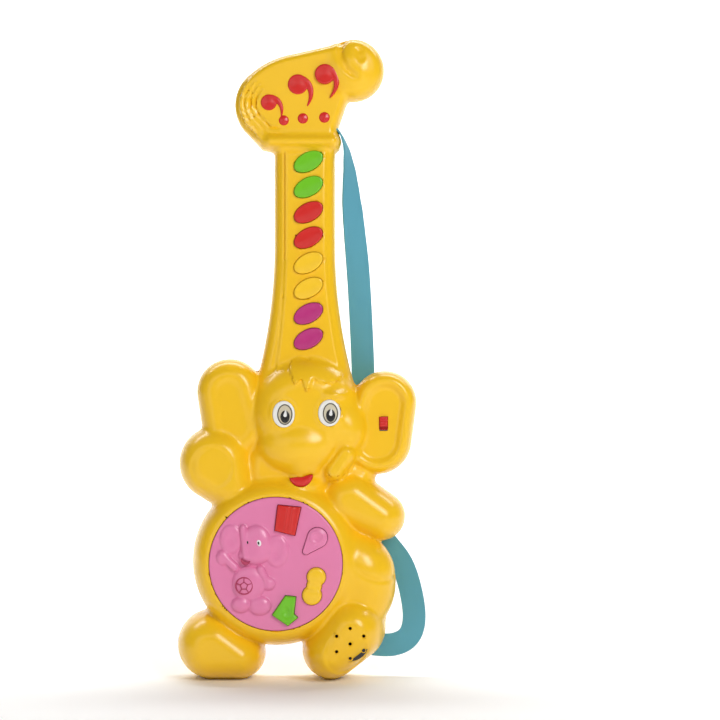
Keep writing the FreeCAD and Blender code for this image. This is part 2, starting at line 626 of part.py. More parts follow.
def sound_places():
    """One hole in the middle and a ring of them."""
    ring = [on_circle(*SPEAKER, SOUND_RING_RADIUS, 90 + n * 360 / SOUND_HOLES) for n in range(SOUND_HOLES)]
    return [SPEAKER] + ring


def front_posts(outer):
    """Bosses on the inside of the front shell, joined to its wall, and the holes down them."""
    posts = [cylinder(x, z, POST_RADIUS, 0, FRONT_DEPTH).common(outer) for x, z in SCREWS]
    holes = [cylinder(x, z, SCREW_RADIUS + FIT, -1.0, SCREW_BITE + 0.5) for x, z in SCREWS]
    for x, z in KEY_BOARD_POSTS:
        posts.append(cylinder(x, z, SMALL_POST_RADIUS, KEY_SHEET_LOW, NECK_DEPTH - WALL / 2))
        holes.append(cylinder(x, z, SMALL_SCREW_RADIUS + FIT, KEY_SHEET_LOW - 1.0,
                              KEY_SHEET_LOW + SMALL_SCREW_LENGTH))
    for x, z in switch_posts():
        posts.append(cylinder(x, z, SMALL_POST_RADIUS, SWITCH_BOARD_TOP, EAR_FACE - WALL / 2))
        holes.append(cylinder(x, z, SMALL_SCREW_RADIUS + FIT, SWITCH_BOARD_TOP - 1.0,
                              SWITCH_BOARD_TOP + SMALL_SCREW_LENGTH))
    for x, z in CLAMP_PLACES:
        posts.append(cylinder(x, z, SMALL_POST_RADIUS, SPEAKER_LOW, FRONT_DEPTH).common(outer))
        holes.append(cylinder(x, z, SMALL_SCREW_RADIUS + FIT, SPEAKER_LOW - 1.0,
                              SPEAKER_LOW + SMALL_SCREW_LENGTH))
    ring = cylinder(*SPEAKER, SPEAKER_RADIUS, SPEAKER_TOP, FRONT_DEPTH).common(outer)
    bore = cylinder(*SPEAKER, SPEAKER_RADIUS - SPEAKER_RIM, SPEAKER_TOP - 1.0, FRONT_DEPTH - WALL)
    return posts + [ring.cut(bore)], holes


def switch_posts():
    return [(SWITCH[0], SWITCH[1] + s * SWITCH_POSTS) for s in (1, -1)]


def make_shell(side):
    """Outer lobes less the hollow inside them, with the feet kept closed."""
    outer = fuse_all(body_lobes(side, 0.0)).common(half_space(side))
    hollow = fuse_all(body_lobes(side, WALL)).cut(floor_slab())
    return outer, outer.cut(hollow)


def make_front_shell():
    outer, shell = make_shell(1)
    posts, bores = front_posts(outer)
    shell = fuse_all([shell] + posts)
    return cut_all(shell, front_holes() + bores + strap_slots()).removeSplitter()


def make_back_shell():
    """The back shell with its screw wells and its battery box."""
    outer, shell = make_shell(-1)
    wells = [cylinder(x, z, SCREW_HEAD_RADIUS + GAP + WELL_WALL, -BACK_DEPTH, 0).common(outer)
             for x, z in SCREWS]
    tub = block(BELLY_X, BELLY_Z, BOX_WIDE + 2 * BOX_WALL, BOX_TALL + 2 * BOX_WALL,
                0.5 - BACK_DEPTH, BOX_DEEP + BOX_WALL)
    ledge = door_prism(GAP + BOX_WALL, 0.5 - BACK_DEPTH, DOOR_IN + BOX_WALL)
    door_posts = [cylinder(BELLY_X, z, POST_RADIUS, DOOR_IN, DOOR_IN + DOOR_SCREW_LENGTH)
                  for z in DOOR_SCREWS]
    shell = fuse_all([shell, tub, ledge] + door_posts + wells)
    cuts = [block(BELLY_X, BELLY_Z, BOX_WIDE, BOX_TALL, -BACK_DEPTH - 1.0, BOX_DEEP),
            door_prism(GAP, -BACK_DEPTH - 1.0, DOOR_IN + FIT)]
    cuts += [cylinder(BELLY_X, z, SCREW_RADIUS + FIT, -BACK_DEPTH, DOOR_IN + DOOR_SCREW_LENGTH - 1.0)
             for z in DOOR_SCREWS]
    for x, z in SCREWS:
        cuts.append(cylinder(x, z, SCREW_HEAD_RADIUS + GAP, -BACK_DEPTH - 1.0, -SCREW_SEAT))
        cuts.append(cylinder(x, z, SCREW_RADIUS + FIT, -BACK_DEPTH, 1.0))
    return cut_all(shell, cuts + strap_slots()).removeSplitter()


# ---------------------------------------------------------------- screws
def screw(x, z, radius, head_radius, head, low, seat, high):
    """A round-headed screw driven forward: head from low to seat, thread up to high."""
    body = domed_back(x, z, head_radius, low, seat).fuse(cylinder(x, z, radius, seat - 0.2, high))
    slot = head_radius * 1.2
    for wide, tall in ((slot, slot / 4), (slot / 4, slot)):
        body = body.cut(block(x, z, wide, tall, low - 1.0, low + head * 0.5))
    return body.removeSplitter()


def domed_back(x, z, radius, low, high):
    solid = cylinder(x, z, radius, low, high)
    return solid.makeFillet((high - low) * 0.4, lip_edges(solid, ahead(low)))


def small_screw(x, z, board_low):
    """A screw that holds a board against its post."""
    top = board_low + SMALL_SCREW_LENGTH
    return screw(x, z, SMALL_SCREW_RADIUS, SMALL_HEAD_RADIUS, SMALL_HEAD, board_low - SMALL_HEAD,
                 board_low, top)


def make_case_screws():
    return [screw(x, z, SCREW_RADIUS, SCREW_HEAD_RADIUS, SCREW_HEAD, -SCREW_SEAT - SCREW_HEAD, -SCREW_SEAT,
                  SCREW_BITE) for x, z in SCREWS]


def make_door_screws():
    low = -BACK_DEPTH + 0.2
    return [screw(BELLY_X, z, SCREW_RADIUS, SCREW_HEAD_RADIUS, DOOR_SCREW_HEAD, low, low + DOOR_SCREW_HEAD,
                  DOOR_IN + DOOR_SCREW_LENGTH - 2.0) for z in DOOR_SCREWS]


# ---------------------------------------------------------------- neck keys and headstock
def make_key(z):
    """An oval cap with a flange that keeps it in its hole."""
    cap = domed(key_face(z, 0), KEY_FLANGE_LOW, NECK_DEPTH + KEY_PROUD, KEY_PROUD * 0.7)
    return cap.fuse(prism(key_face(z, FLANGE), KEY_FLANGE_LOW, KEY_FLANGE_TOP)).removeSplitter()


def key_strip():
    """Outline of the key board and its silicone sheet."""
    top, low = KEYS[0] + KEY_BOARD_REACH, KEYS[-1] - KEY_BOARD_REACH
    return box_face(NECK_X, (top + low) / 2, 2 * KEY_BOARD_HALF, top - low, 2.0)


def make_key_sheet():
    top = KEY_SHEET_LOW + SHEET_THICK
    sheet = prism(key_strip(), KEY_SHEET_LOW, top)
    sheet = fuse_all([sheet] + [cylinder(KEY_X, z, DOME_RADIUS, KEY_SHEET_LOW, KEY_DOME_TOP) for z in KEYS])
    return cut_all(sheet, [cylinder(x, z, SMALL_POST_RADIUS + GAP, KEY_SHEET_LOW - 1.0, top + 1.0)
                           for x, z in KEY_BOARD_POSTS])


def make_key_board():
    low = KEY_SHEET_LOW - BOARD_THICK
    board = prism(key_strip(), low, KEY_SHEET_LOW)
    return cut_all(board, [cylinder(x, z, SMALL_SCREW_RADIUS + FIT, low - 1.0, KEY_SHEET_LOW + 1.0)
                           for x, z in KEY_BOARD_POSTS])


def make_key_board_screws():
    return [small_screw(x, z, KEY_SHEET_LOW - BOARD_THICK) for x, z in KEY_BOARD_POSTS]


def make_headstock_insert():
    """Red crotchets and dots on one hidden plate."""
    top = HEADSTOCK_DEPTH - WALL
    low = top - INSERT_PLATE
    circles = [raised(curl)[:3] for curl in CURLS]
    dots = [raised(dot) for dot in DOTS]
    chain = list(zip(circles, circles[1:])) + list(zip(dots, dots[1:]))
    chain += [(circles[0], dots[0]), (circles[2], dots[2])]
    plate = fuse_all([prism(hull_face(a, b), low, top) for a, b in chain])
    high = HEADSTOCK_DEPTH + CURL_PROUD
    shapes = [plate]
    for curl in CURLS:
        shapes += [prism(face, low, high) for face in curl_faces(*raised(curl))]
    shapes += [domed(disc_face(*dot), low, high, CURL_PROUD * 0.8) for dot in dots]
    return fuse_all(shapes)


# ---------------------------------------------------------------- face
def make_eye(name):
    """A white oval with a flange behind the wall and a socket for its pupil."""
    x, z = EYES[name]
    wall_in = HEAD_DEPTH - WALL
    white = domed(oval_face(x, z, *EYE_HALF, 0), wall_in - FLANGE, HEAD_DEPTH + EYE_PROUD, EYE_PROUD)
    flange = prism(oval_face(x, z, EYE_HALF[0] + FLANGE, EYE_HALF[1] + FLANGE, 0), wall_in - FLANGE,
                   wall_in)
    socket = prism(oval_face(x, z, *PUPIL_HALF, 0), HEAD_DEPTH + EYE_PROUD - PUPIL_DEEP, HEAD_DEPTH + 2.0)
    return white.fuse(flange).cut(socket).removeSplitter()


def make_pupils():
    """Dark ovals pressed into the eyes."""
    top = HEAD_DEPTH + EYE_PROUD
    return [domed(oval_face(x, z, *PUPIL_HALF, 0), top - PUPIL_DEEP, top + 0.3, 0.25)
            for x, z in EYES.values()]


def make_mouth():
    """A half-moon plug glued into its hole."""
    return domed(mouth_face(), MOUTH_BACK, MOUTH_FRONT, 0.8)


# ---------------------------------------------------------------- belly
def button_face(name):
    """Outline of one of the four shape buttons."""
    if name == "block_button":
        return round_polygon(on_disc(BLOCK_BUTTON), BUTTON_CORNER)
    if name == "wedge_button":
        return round_polygon(on_disc(WEDGE_BUTTON), BUTTON_CORNER / 2)
    a, b = on_disc(CURL_BUTTON if name == "curl_button" else PEANUT_BUTTON)
    if name == "curl_button":
        return hull_face(a, b)
    waist = ((a[0] + b[0]) / 2, (a[1] + b[1]) / 2, min(a[2], b[2]) * 0.8)
    pair = disc_face(*a).fuse([disc_face(*b), disc_face(*waist)]).removeSplitter()
    return Part.Face(pair.Faces[0].OuterWire)


def make_button(name):
    """A shape button with a flange that keeps it in the disc."""
    face = button_face(name)
    cap = domed(face, BUTTON_FLANGE_LOW, DISC_TOP + BUTTON_PROUD, 0.8)
    return cap.fuse(prism(face.makeOffset2D(FLANGE), BUTTON_FLANGE_LOW, BUTTON_FLANGE_TOP)).removeSplitter()


def make_belly_disc():
    """The round panel with a calf in relief, its weld ring behind and posts for the main board."""
    ring_top = BELLY_DEPTH - WALL
    ring_low = ring_top - WALL
    ring_in = DISC_RADIUS - DISC_RING_LIP
    disc = domed(disc_face(BELLY_X, BELLY_Z, DISC_RADIUS), DISC_LOW, DISC_TOP, 1.0)
    ring = cylinder(BELLY_X, BELLY_Z, DISC_RADIUS + DISC_RING, ring_low, ring_top)
    ring = ring.cut(cylinder(BELLY_X, BELLY_Z, ring_in, ring_low - 1.0, ring_top + 1.0))
    relief = [domed(disc_face(x, z, radius), DISC_LOW, DISC_TOP + height, height * 0.8)
              for x, z, radius, height in on_disc(CALF)]
    posts = [cylinder(x, z, SMALL_POST_RADIUS, BOARD_TOP, DISC_LOW + 0.5) for x, z in on_disc(BOARD_POSTS)]
    whole = fuse_all([disc, ring] + relief + posts)
    cuts = [prism(button_face(name).makeOffset2D(GAP), DISC_LOW - 1.0, FRONT_DEPTH) for name in BUTTONS]
    cuts += [cylinder(x, z, SMALL_SCREW_RADIUS + FIT, BOARD_TOP - 1.0, BOARD_TOP + SMALL_SCREW_LENGTH - 1.0)
             for x, z in on_disc(BOARD_POSTS)]
    return cut_all(whole, cuts).removeSplitter()


def make_button_sheet():
    top = BOARD_TOP + SHEET_THICK
    sheet = cylinder(BELLY_X, BELLY_Z, BOARD_RADIUS, BOARD_TOP, top)
    domes = []
    for name in BUTTONS:
        centre = button_face(name).CenterOfMass
        domes.append(cylinder(centre.x, centre.z, DOME_RADIUS, BOARD_TOP, BUTTON_DOME_TOP))
    return cut_all(fuse_all([sheet] + domes), [cylinder(x, z, SMALL_POST_RADIUS + GAP, BOARD_TOP - 1.0,
                                                        top + 1.0)
                                               for x, z in on_disc(BOARD_POSTS)])


def make_main_board():
    board = cylinder(BELLY_X, BELLY_Z, BOARD_RADIUS, BOARD_LOW, BOARD_TOP)
    return cut_all(board, [cylinder(x, z, SMALL_SCREW_RADIUS + FIT, BOARD_LOW - 1.0, BOARD_TOP + 1.0)
                           for x, z in on_disc(BOARD_POSTS)])


def make_main_board_screws():
    return [small_screw(x, z, BOARD_LOW) for x, z in on_disc(BOARD_POSTS)]


def make_sound_chip():
    """The blob of resin over the melody chip."""
    solid = cylinder(BELLY_X - 8.0, BELLY_Z - 4.0, 7.5, BOARD_LOW - 1.8, BOARD_LOW)
    return solid.makeFillet(1.6, lip_edges(solid, ahead(BOARD_LOW - 1.8)))


def make_board_components():
    """Capacitor, resistors and the plug block for the key ribbon."""
    parts = [cylinder(BELLY_X + 16.0, BELLY_Z - 14.0, 3.0, BOARD_LOW - 7.0, BOARD_LOW)]
    parts += [block(BELLY_X + 6.0 + 4.0 * n, BELLY_Z + 12.0, 1.6, 3.2, BOARD_LOW - 0.8, BOARD_LOW)
              for n in range(4)]
    parts.append(block(*PLUG_BLOCK, 9.0, 4.0, BOARD_LOW - 3.0, BOARD_LOW))
    return parts


# ---------------------------------------------------------------- ear switch
def make_switch_cap():
    """A ribbed cap that slides in the ear; its flange runs behind the wall."""
    x, z = SWITCH
    cap = block(x, z, SWITCH_WIDTH, SWITCH_HEIGHT, SWITCH_FLANGE_LOW, EAR_FACE + SWITCH_PROUD)
    flange = block(x, z, SWITCH_WIDTH + 2 * FLANGE + 2 * GAP, SWITCH_HEIGHT + 2 * SWITCH_TRAVEL + 2 * GAP,
                   SWITCH_FLANGE_LOW, SWITCH_FLANGE_LOW + FLANGE)
    ribs = [block(x, z + 1.5 * n, SWITCH_WIDTH + 1.0, 0.5, EAR_FACE + SWITCH_PROUD - 0.4,
                  EAR_FACE + SWITCH_PROUD + 1.0)
            for n in (-1, 0, 1)]
    return cut_all(cap.fuse(flange), ribs).removeSplitter()


def make_switch_body():
    x, z = SWITCH
    wide, tall, thick = SWITCH_CAN
    return block(x, z - SWITCH_TRAVEL / 2, wide, tall, SWITCH_BOARD_TOP, SWITCH_BOARD_TOP + thick)


def make_switch_board():
    low = SWITCH_BOARD_TOP - BOARD_THICK
    board = prism(box_face(*SWITCH, *SWITCH_BOARD, 1.5), low, SWITCH_BOARD_TOP)
    return cut_all(board, [cylinder(x, z, SMALL_SCREW_RADIUS + FIT, low - 1.0, SWITCH_BOARD_TOP + 1.0)
                           for x, z in switch_posts()])


def make_switch_screws():
    return [small_screw(x, z, SWITCH_BOARD_TOP - BOARD_THICK) for x, z in switch_posts()]


# ---------------------------------------------------------------- speaker
def make_speaker_frame():
    """A steel basket from the magnet out to the rim."""
    x, z = SPEAKER
    top = SPEAKER_TOP - SURROUND_THICK
    cup = cone(x, z, MAGNET_RADIUS + BASKET_FOOT, SPEAKER_RADIUS, SPEAKER_LOW, top)
    return cup.cut(cone(x, z, CONE_RADIUS + 1.0, SPEAKER_RADIUS - 1.0, SPEAKER_LOW + 0.8, top + 0.01))


def make_speaker_cone():
    """A paper cone that hangs inside the basket from a flat surround on its rim."""
    x, z = SPEAKER
    top = SPEAKER_TOP - SURROUND_THICK
    low = SPEAKER_LOW + 1.1
    mouth = SPEAKER_RADIUS - 2.4
    funnel = cone(x, z, CONE_RADIUS, mouth, low, SPEAKER_TOP)
    surround = cylinder(x, z, SPEAKER_RADIUS, top, SPEAKER_TOP)
    hollow = cone(x, z, CONE_RADIUS - 0.8, mouth - 0.8, low + 0.6, SPEAKER_TOP + 0.01)
    return funnel.fuse(surround).cut(hollow).removeSplitter()


def make_speaker_magnet():
    x, z = SPEAKER
    solid = cylinder(x, z, MAGNET_RADIUS, SPEAKER_LOW - MAGNET_HEIGHT, SPEAKER_LOW)
    return solid.makeChamfer(0.6, lip_edges(solid, ahead(SPEAKER_LOW - MAGNET_HEIGHT)))


def make_speaker_clamp():
    """A bar round the magnet, screwed to two posts, that presses the basket to its seat."""
    x, z = SPEAKER
    low, high = SPEAKER_LOW - CLAMP_THICK, SPEAKER_LOW
    bar = prism(hull_face((*CLAMP_PLACES[0], 3.2), (*CLAMP_PLACES[1], 3.2)), low, high)
    collar = cylinder(x, z, MAGNET_RADIUS + 2.0, low, high)
    whole = fuse_all([bar, collar]).cut(cylinder(x, z, MAGNET_RADIUS + GAP, low - 1.0, high + 1.0))
    return cut_all(whole, [cylinder(px, pz, SMALL_SCREW_RADIUS + FIT, low - 1.0, high + 1.0)
                           for px, pz in CLAMP_PLACES])


def make_speaker_screws():
    return [small_screw(x, z, SPEAKER_LOW - CLAMP_THICK) for x, z in CLAMP_PLACES]


# ---------------------------------------------------------------- batteries
def upright(x, radius, low, high):
    """A cylinder along Z at the cells' depth."""
    return Part.makeCylinder(radius, high - low, Vector(x, ahead(CELL_DEPTH), low), Vector(0, 0, 1))


def cell_way(n):
    """1 if a cell stands with its plus end up, -1 if it hangs."""
    return 1 if n % 2 == 0 else -1


def make_cell(n):
    half = CELL_LENGTH / 2
    can = upright(CELLS[n], CELL_RADIUS, BELLY_Z - half, BELLY_Z + half - NIPPLE_HEIGHT)
    can = can.fuse(upright(CELLS[n], NIPPLE_RADIUS, BELLY_Z, BELLY_Z + half)).removeSplitter()
    if cell_way(n) < 0:
        can.rotate(Vector(CELLS[n], 0, BELLY_Z), Vector(0, 1, 0), 180)
    return can


def make_springs():
    """A stack of wire rings, growing towards the box's wall, at each minus end."""
    springs = []
    for n, x in enumerate(CELLS):
        way = -cell_way(n)
        rings = []
        pitch = (CONTACT_ROOM - PLATE_THICK - 2 * SPRING_WIRE) / (SPRING_TURNS - 1)
        for k in range(SPRING_TURNS):
            z = BELLY_Z + way * (CELL_LENGTH / 2 + SPRING_WIRE + k * pitch)
            rings.append(Part.makeTorus(SPRING_RADIUS + 0.4 * k, SPRING_WIRE,
                                        Vector(x, ahead(CELL_DEPTH), z)))
        springs.append(fuse_all(rings))
    return springs


def make_contact_plates():
    """Thin plates on the end walls of the box, one behind each contact."""
    plates = []
    for way in (1, -1):
        z = BELLY_Z + way * (BOX_TALL - PLATE_THICK) / 2
        for x in CELLS:
            size = 2 * CELL_RADIUS - 3.0
            plates.append(Part.makeBox(size, size, PLATE_THICK,
                                       Vector(x - size / 2, ahead(CELL_DEPTH) - size / 2,
                                              z - PLATE_THICK / 2)))
    return plates


def make_plus_studs():
    """Raised studs between each plus end and its plate."""
    studs = []
    for n, x in enumerate(CELLS):
        start = CELL_LENGTH / 2
        stud = upright(x, STUD_RADIUS, BELLY_Z + start, BELLY_Z + BOX_TALL / 2 - PLATE_THICK)
        if cell_way(n) < 0:
            stud.rotate(Vector(x, 0, BELLY_Z), Vector(0, 1, 0), 180)
        studs.append(stud)
    return studs


def make_battery_door():
    """A flush plate with grip ribs and a sunk hole at each end for its captive screws."""
    door = door_prism(0, -BACK_DEPTH, DOOR_IN)
    cuts = []
    for z in DOOR_SCREWS:
        cuts.append(cylinder(BELLY_X, z, SCREW_HEAD_RADIUS + GAP, -BACK_DEPTH - 1.0,
                             -BACK_DEPTH + 0.2 + DOOR_SCREW_HEAD))
        cuts.append(cylinder(BELLY_X, z, SCREW_RADIUS + FIT, -BACK_DEPTH - 1.0, DOOR_IN + 1.0))
    cuts += [block(BELLY_X, BELLY_Z + 3.0 * n, DOOR_WIDE * 0.5, 1.2, -BACK_DEPTH - 1.0, -BACK_DEPTH + 0.6)
             for n in range(-3, 4)]
    return cut_all(door, cuts).removeSplitter()


# ---------------------------------------------------------------- wiring and strap
def path_edges(points, report):
    """Straight runs joined by arcs, each as large as its two runs allow."""
    spots = [Vector(*point) for point in points]
    edges = []
    start = spots[0]
    radii = []
    for before, here, after in zip(spots, spots[1:], spots[2:]):
        back, on = before - here, after - here
        reach = 0.45 * min(back.Length, on.Length)
        a, b = here + back.normalize() * reach, here + on.normalize() * reach
        half_turn = (math.pi - back.getAngle(on)) / 2
        radius = reach / math.tan(half_turn)
        radii.append(radius)
        middle = (a + b) / 2
        inward = (middle - here).normalize()
        centre = here + inward * math.hypot(reach, radius)
        edges.append(Part.LineSegment(start, a).toShape())
        edges.append(Part.Arc(a, centre - inward * radius, b).toShape())
        start = b
    edges.append(Part.LineSegment(start, spots[-1]).toShape())
    if report:
        print(report, "radii mm:", " ".join("%.1f" % radius for radius in radii))
    return edges


def wire(points, radius):
    """A round wire along a route."""
    path = Part.Wire(path_edges(points, ""))
    way = Vector(*points[1]) - Vector(*points[0])
    ring = Part.Wire(Part.makeCircle(radius, Vector(*points[0]), way))
    return path.makePipeShell([ring], True, False, 1)


def ribbon_sections(grow):
    """Rectangles across the strap's route, each turned to the ribbon's own angle there."""
    edges = path_edges([point[:3] for point in STRAP_ROUTE], "")
    total = sum(edge.Length for edge in edges)
    marks = [0.0]
    for a, b in zip(STRAP_ROUTE, STRAP_ROUTE[1:]):
        marks.append(marks[-1] + (Vector(*b[:3]) - Vector(*a[:3])).Length)
    sections = []
    travelled = 0.0
    for edge in edges:
        count = max(1, round(edge.Length / STRAP_STEP))
        for k in range(count + (edge is edges[-1])):
            at = k * edge.Length / count
            u = edge.getParameterByLength(at)
            spot, way = edge.valueAt(u), edge.tangentAt(u)
            share = (travelled + at) / total * marks[-1]
            sections.append(ribbon_section(spot, way, turn_at(share, marks), grow))
        travelled += edge.Length
    return sections


def turn_at(share, marks):
    """The ribbon's angle at a distance along the route's points."""
    for n in range(len(marks) - 1):
        if share <= marks[n + 1]:
            part = (share - marks[n]) / (marks[n + 1] - marks[n])
            return STRAP_ROUTE[n][3] * (1 - part) + STRAP_ROUTE[n + 1][3] * part
    return STRAP_ROUTE[-1][3]


def ribbon_section(spot, way, turn, grow):
    """A thin rectangle across the ribbon; at no turn its width runs front to back."""
    deep = Vector(0, 1, 0)
    deep = (deep - way * deep.dot(way)).normalize()
    side = way.cross(deep)
    wide = deep * math.cos(math.radians(turn)) + side * math.sin(math.radians(turn))
    thin = way.cross(wide)
    w, t = wide * (STRAP_WIDTH / 2 + grow), thin * (STRAP_THICK / 2 + grow)
    corners = [spot + w + t, spot - w + t, spot - w - t, spot + w - t]
    return Part.makePolygon(corners + corners[:1])


def ribbon(grow, first, last):
    """The strap between two of its sections, grown by a clearance."""
    return Part.makeLoft(ribbon_sections(grow)[first:last], True, True)


def strap_slots():
    """The way of the strap through the shells at each of its ends."""
    return [ribbon(STRAP_ROOM, 0, 8), ribbon(STRAP_ROOM, -6, None)]


def make_strap():
    strap = ribbon(0.0, 0, None)
    edges = path_edges([point[:3] for point in STRAP_ROUTE], "strap")
    length = sum(edge.Length for edge in edges)
    print("strap length %.1f mm, volume %.0f, section times length %.0f"
          % (length, strap.Volume, length * STRAP_WIDTH * STRAP_THICK))
    return strap


def make_strap_anchors():
    """A bar across each end of the strap: one between the two shells, one standing on the back wall."""
    top = Vector(*STRAP_ROUTE[0][:3])
    top += (top - Vector(*STRAP_ROUTE[1][:3])).normalize() * ANCHOR
    upper = cylinder(top.x, top.z, ANCHOR, WALL - HEADSTOCK_BACK, HEADSTOCK_DEPTH - WALL - INSERT_PLATE)
    low = Vector(*STRAP_ROUTE[-1][:3])
    back_wall = WALL - BACK_DEPTH
    lower = block(low.x - ANCHOR, low.z, 2 * ANCHOR, ANCHOR_HEIGHT, back_wall, PARTING_Y - low.y + ANCHOR)
    return [upper, lower]


def at(x, depth, z):
    return (x, ahead(depth), z)


def make_key_ribbon():
    """Flat cable from the key board down behind the face to the main board."""
    x, z = PLUG_BLOCK
    wide, thick = RIBBON_CABLE
    low = KEY_SHEET_LOW - BOARD_THICK - thick / 2
    start = KEYS[-1]
    route = [at(x, low, start), at(x, low - 0.4, z + 40.0), at(x, BOARD_LOW - 6.0, z + 14.0),
             at(x, BOARD_LOW - 1.5, z + 2.0)]
    path = Part.Wire(path_edges(route, ""))
    corners = [at(x + sx * wide / 2, low + sy * thick / 2, start)
               for sx, sy in ((1, 1), (-1, 1), (-1, -1), (1, -1))]
    section = Part.makePolygon([Vector(*corner) for corner in corners + corners[:1]])
    return path.makePipeShell([section], True, False, 1)


def wire_pair(route, spread):
    """Two wires side by side, set apart along X."""
    return [wire([(x + s * spread, y, z) for x, y, z in route], WIRE_RADIUS) for s in (1, -1)]


def to_board(x, z):
    """The last two points of a wire that is soldered to the back of the main board."""
    return [at(x, BOARD_LOW - WIRE_LEAD, z), at(x, BOARD_LOW, z)]


def make_speaker_wires():
    x, z = SPEAKER
    low = SPEAKER_LOW - MAGNET_HEIGHT
    start = [at(x, low, z), at(x, low - WIRE_LEAD, z), at(x - 10.0, low - 6.0, z + 10.0)]
    return wire_pair(start + to_board(BELLY_X + 22.0, BELLY_Z - 22.0), WIRE_SPREAD)


def make_battery_wires():
    x, z = BELLY_X - 12.0, BELLY_Z + BOX_TALL / 2 + BOX_WALL
    start = [at(x, CELL_DEPTH, z), at(x, CELL_DEPTH, z + WIRE_LEAD),
             at(x, CELL_DEPTH + 8.0, z + WIRE_LEAD + 2.0)]
    return wire_pair(start + to_board(x, z - 7.0), WIRE_SPREAD)


def make_switch_wires():
    """Out of the ear, across behind the cheek and down to the main board."""
    x, z = SWITCH
    low = SWITCH_BOARD_TOP - BOARD_THICK
    start = [at(x, low, z - 6.0), at(x, low - WIRE_LEAD, z - 6.0),
             at(HEAD[0] + 28.0, low - WIRE_LEAD - 1.0, HEAD[1] - 10.0),
             at(JAW[0] + 8.0, 3.0, JAW[1] + 6.0), at(JAW[0] + 2.0, 5.0, JAW[1] - 12.0)]
    return wire_pair(start + to_board(BELLY_X + 15.0, BELLY_Z + 30.0), WIRE_SPREAD)


# ---------------------------------------------------------------- the assembly
def make_all():
    """Every node by name; a list is a group of like pieces that share one node."""
    nodes = {"front_shell": make_front_shell(), "back_shell": make_back_shell(),
             "case_screws": make_case_screws(),
             "headstock_insert": make_headstock_insert()}
    for n, z in enumerate(KEYS):
        nodes["neck_key_%d" % (n + 1)] = make_key(z)
    nodes.update({"key_sheet": make_key_sheet(), "key_board": make_key_board(),
                  "key_board_screws": make_key_board_screws()})
    for name in EYES:
        nodes[name] = make_eye(name)
    nodes.update({"eye_pupils": make_pupils(), "mouth_insert": make_mouth()})
    nodes["belly_disc"] = make_belly_disc()
    for name in BUTTONS:
        nodes[name] = make_button(name)
    nodes.update({"button_sheet": make_button_sheet(), "main_board": make_main_board(),
                  "main_board_screws": make_main_board_screws(), "sound_chip": make_sound_chip(),
                  "board_components": make_board_components()})
    nodes.update({"switch_cap": make_switch_cap(), "switch_body": make_switch_body(),
                  "switch_board": make_switch_board(), "switch_screws": make_switch_screws()})
    nodes.update({"speaker_frame": make_speaker_frame(), "speaker_cone": make_speaker_cone(),
                  "speaker_magnet": make_speaker_magnet(), "speaker_clamp": make_speaker_clamp(),
                  "speaker_screws": make_speaker_screws()})
    for n in range(CELL_COUNT):
        nodes["battery_%d" % (n + 1)] = make_cell(n)
    nodes.update({"battery_springs": make_springs(), "contact_plates": make_contact_plates(),
                  "plus_studs": make_plus_studs(), "battery_door": make_battery_door(),
                  "battery_door_screws": make_door_screws()})
    nodes.update({"key_ribbon_cable": make_key_ribbon(), "speaker_wires": make_speaker_wires(),
                  "battery_wires": make_battery_wires(), "switch_wires": make_switch_wires()})
    nodes.update({"strap_ribbon": make_strap(), "strap_anchors": make_strap_anchors()})
    return nodes


def home_shift(nodes):
    """From the drawing's axes to the origin on the floor, under the middle of the box round the shells."""
    box = Part.makeCompound([nodes["front_shell"], nodes["back_shell"]]).optimalBoundingBox()
    return Vector(-box.Center.x, -box.Center.y, -box.ZMin)


if __name__ == "__main__":
    os.makedirs("parts", exist_ok=True)
    all_nodes = make_all()
    shift = home_shift(all_nodes)
    print("nodes", len(all_nodes), "shift to origin", shift)
    for node_name, shape in all_nodes.items():
        solids = shape if isinstance(shape, list) else shape.Solids
        for solid in solids:
            if not solid.isValid():
                print("not valid:", node_name)
        whole = Part.makeCompound(solids) if len(solids) > 1 else solids[0].copy()
        whole.translate(shift)
        whole.exportStep("parts/%s.step" % node_name)
        print("%-22s solids %2d volume %9.1f" % (node_name, len(solids), whole.Volume))
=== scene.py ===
import math

import bpy
import numpy as np
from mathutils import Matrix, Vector


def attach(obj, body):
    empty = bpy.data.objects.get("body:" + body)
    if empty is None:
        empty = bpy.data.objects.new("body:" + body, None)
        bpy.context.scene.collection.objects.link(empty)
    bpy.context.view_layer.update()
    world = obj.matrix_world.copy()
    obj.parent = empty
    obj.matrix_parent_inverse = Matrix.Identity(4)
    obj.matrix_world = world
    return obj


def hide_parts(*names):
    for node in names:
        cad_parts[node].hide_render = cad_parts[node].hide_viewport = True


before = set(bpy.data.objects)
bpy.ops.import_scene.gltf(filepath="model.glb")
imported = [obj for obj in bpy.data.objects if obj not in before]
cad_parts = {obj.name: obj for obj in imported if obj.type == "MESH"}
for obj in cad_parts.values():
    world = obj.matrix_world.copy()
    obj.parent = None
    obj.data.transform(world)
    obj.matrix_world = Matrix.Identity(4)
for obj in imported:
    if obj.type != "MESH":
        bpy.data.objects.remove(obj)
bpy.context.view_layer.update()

bl_info = {
    "name": "Elephant Toy Guitar",
    "version": (1, 0, 0),
    "blender": (4, 5, 0),
    "location": "3D View > Sidebar > Toy Guitar",
    "description": "Makes the visible pieces of a toy guitar shaped as an elephant",
    "category": "Add Mesh",
}

MM = 0.001
CASE = "case"

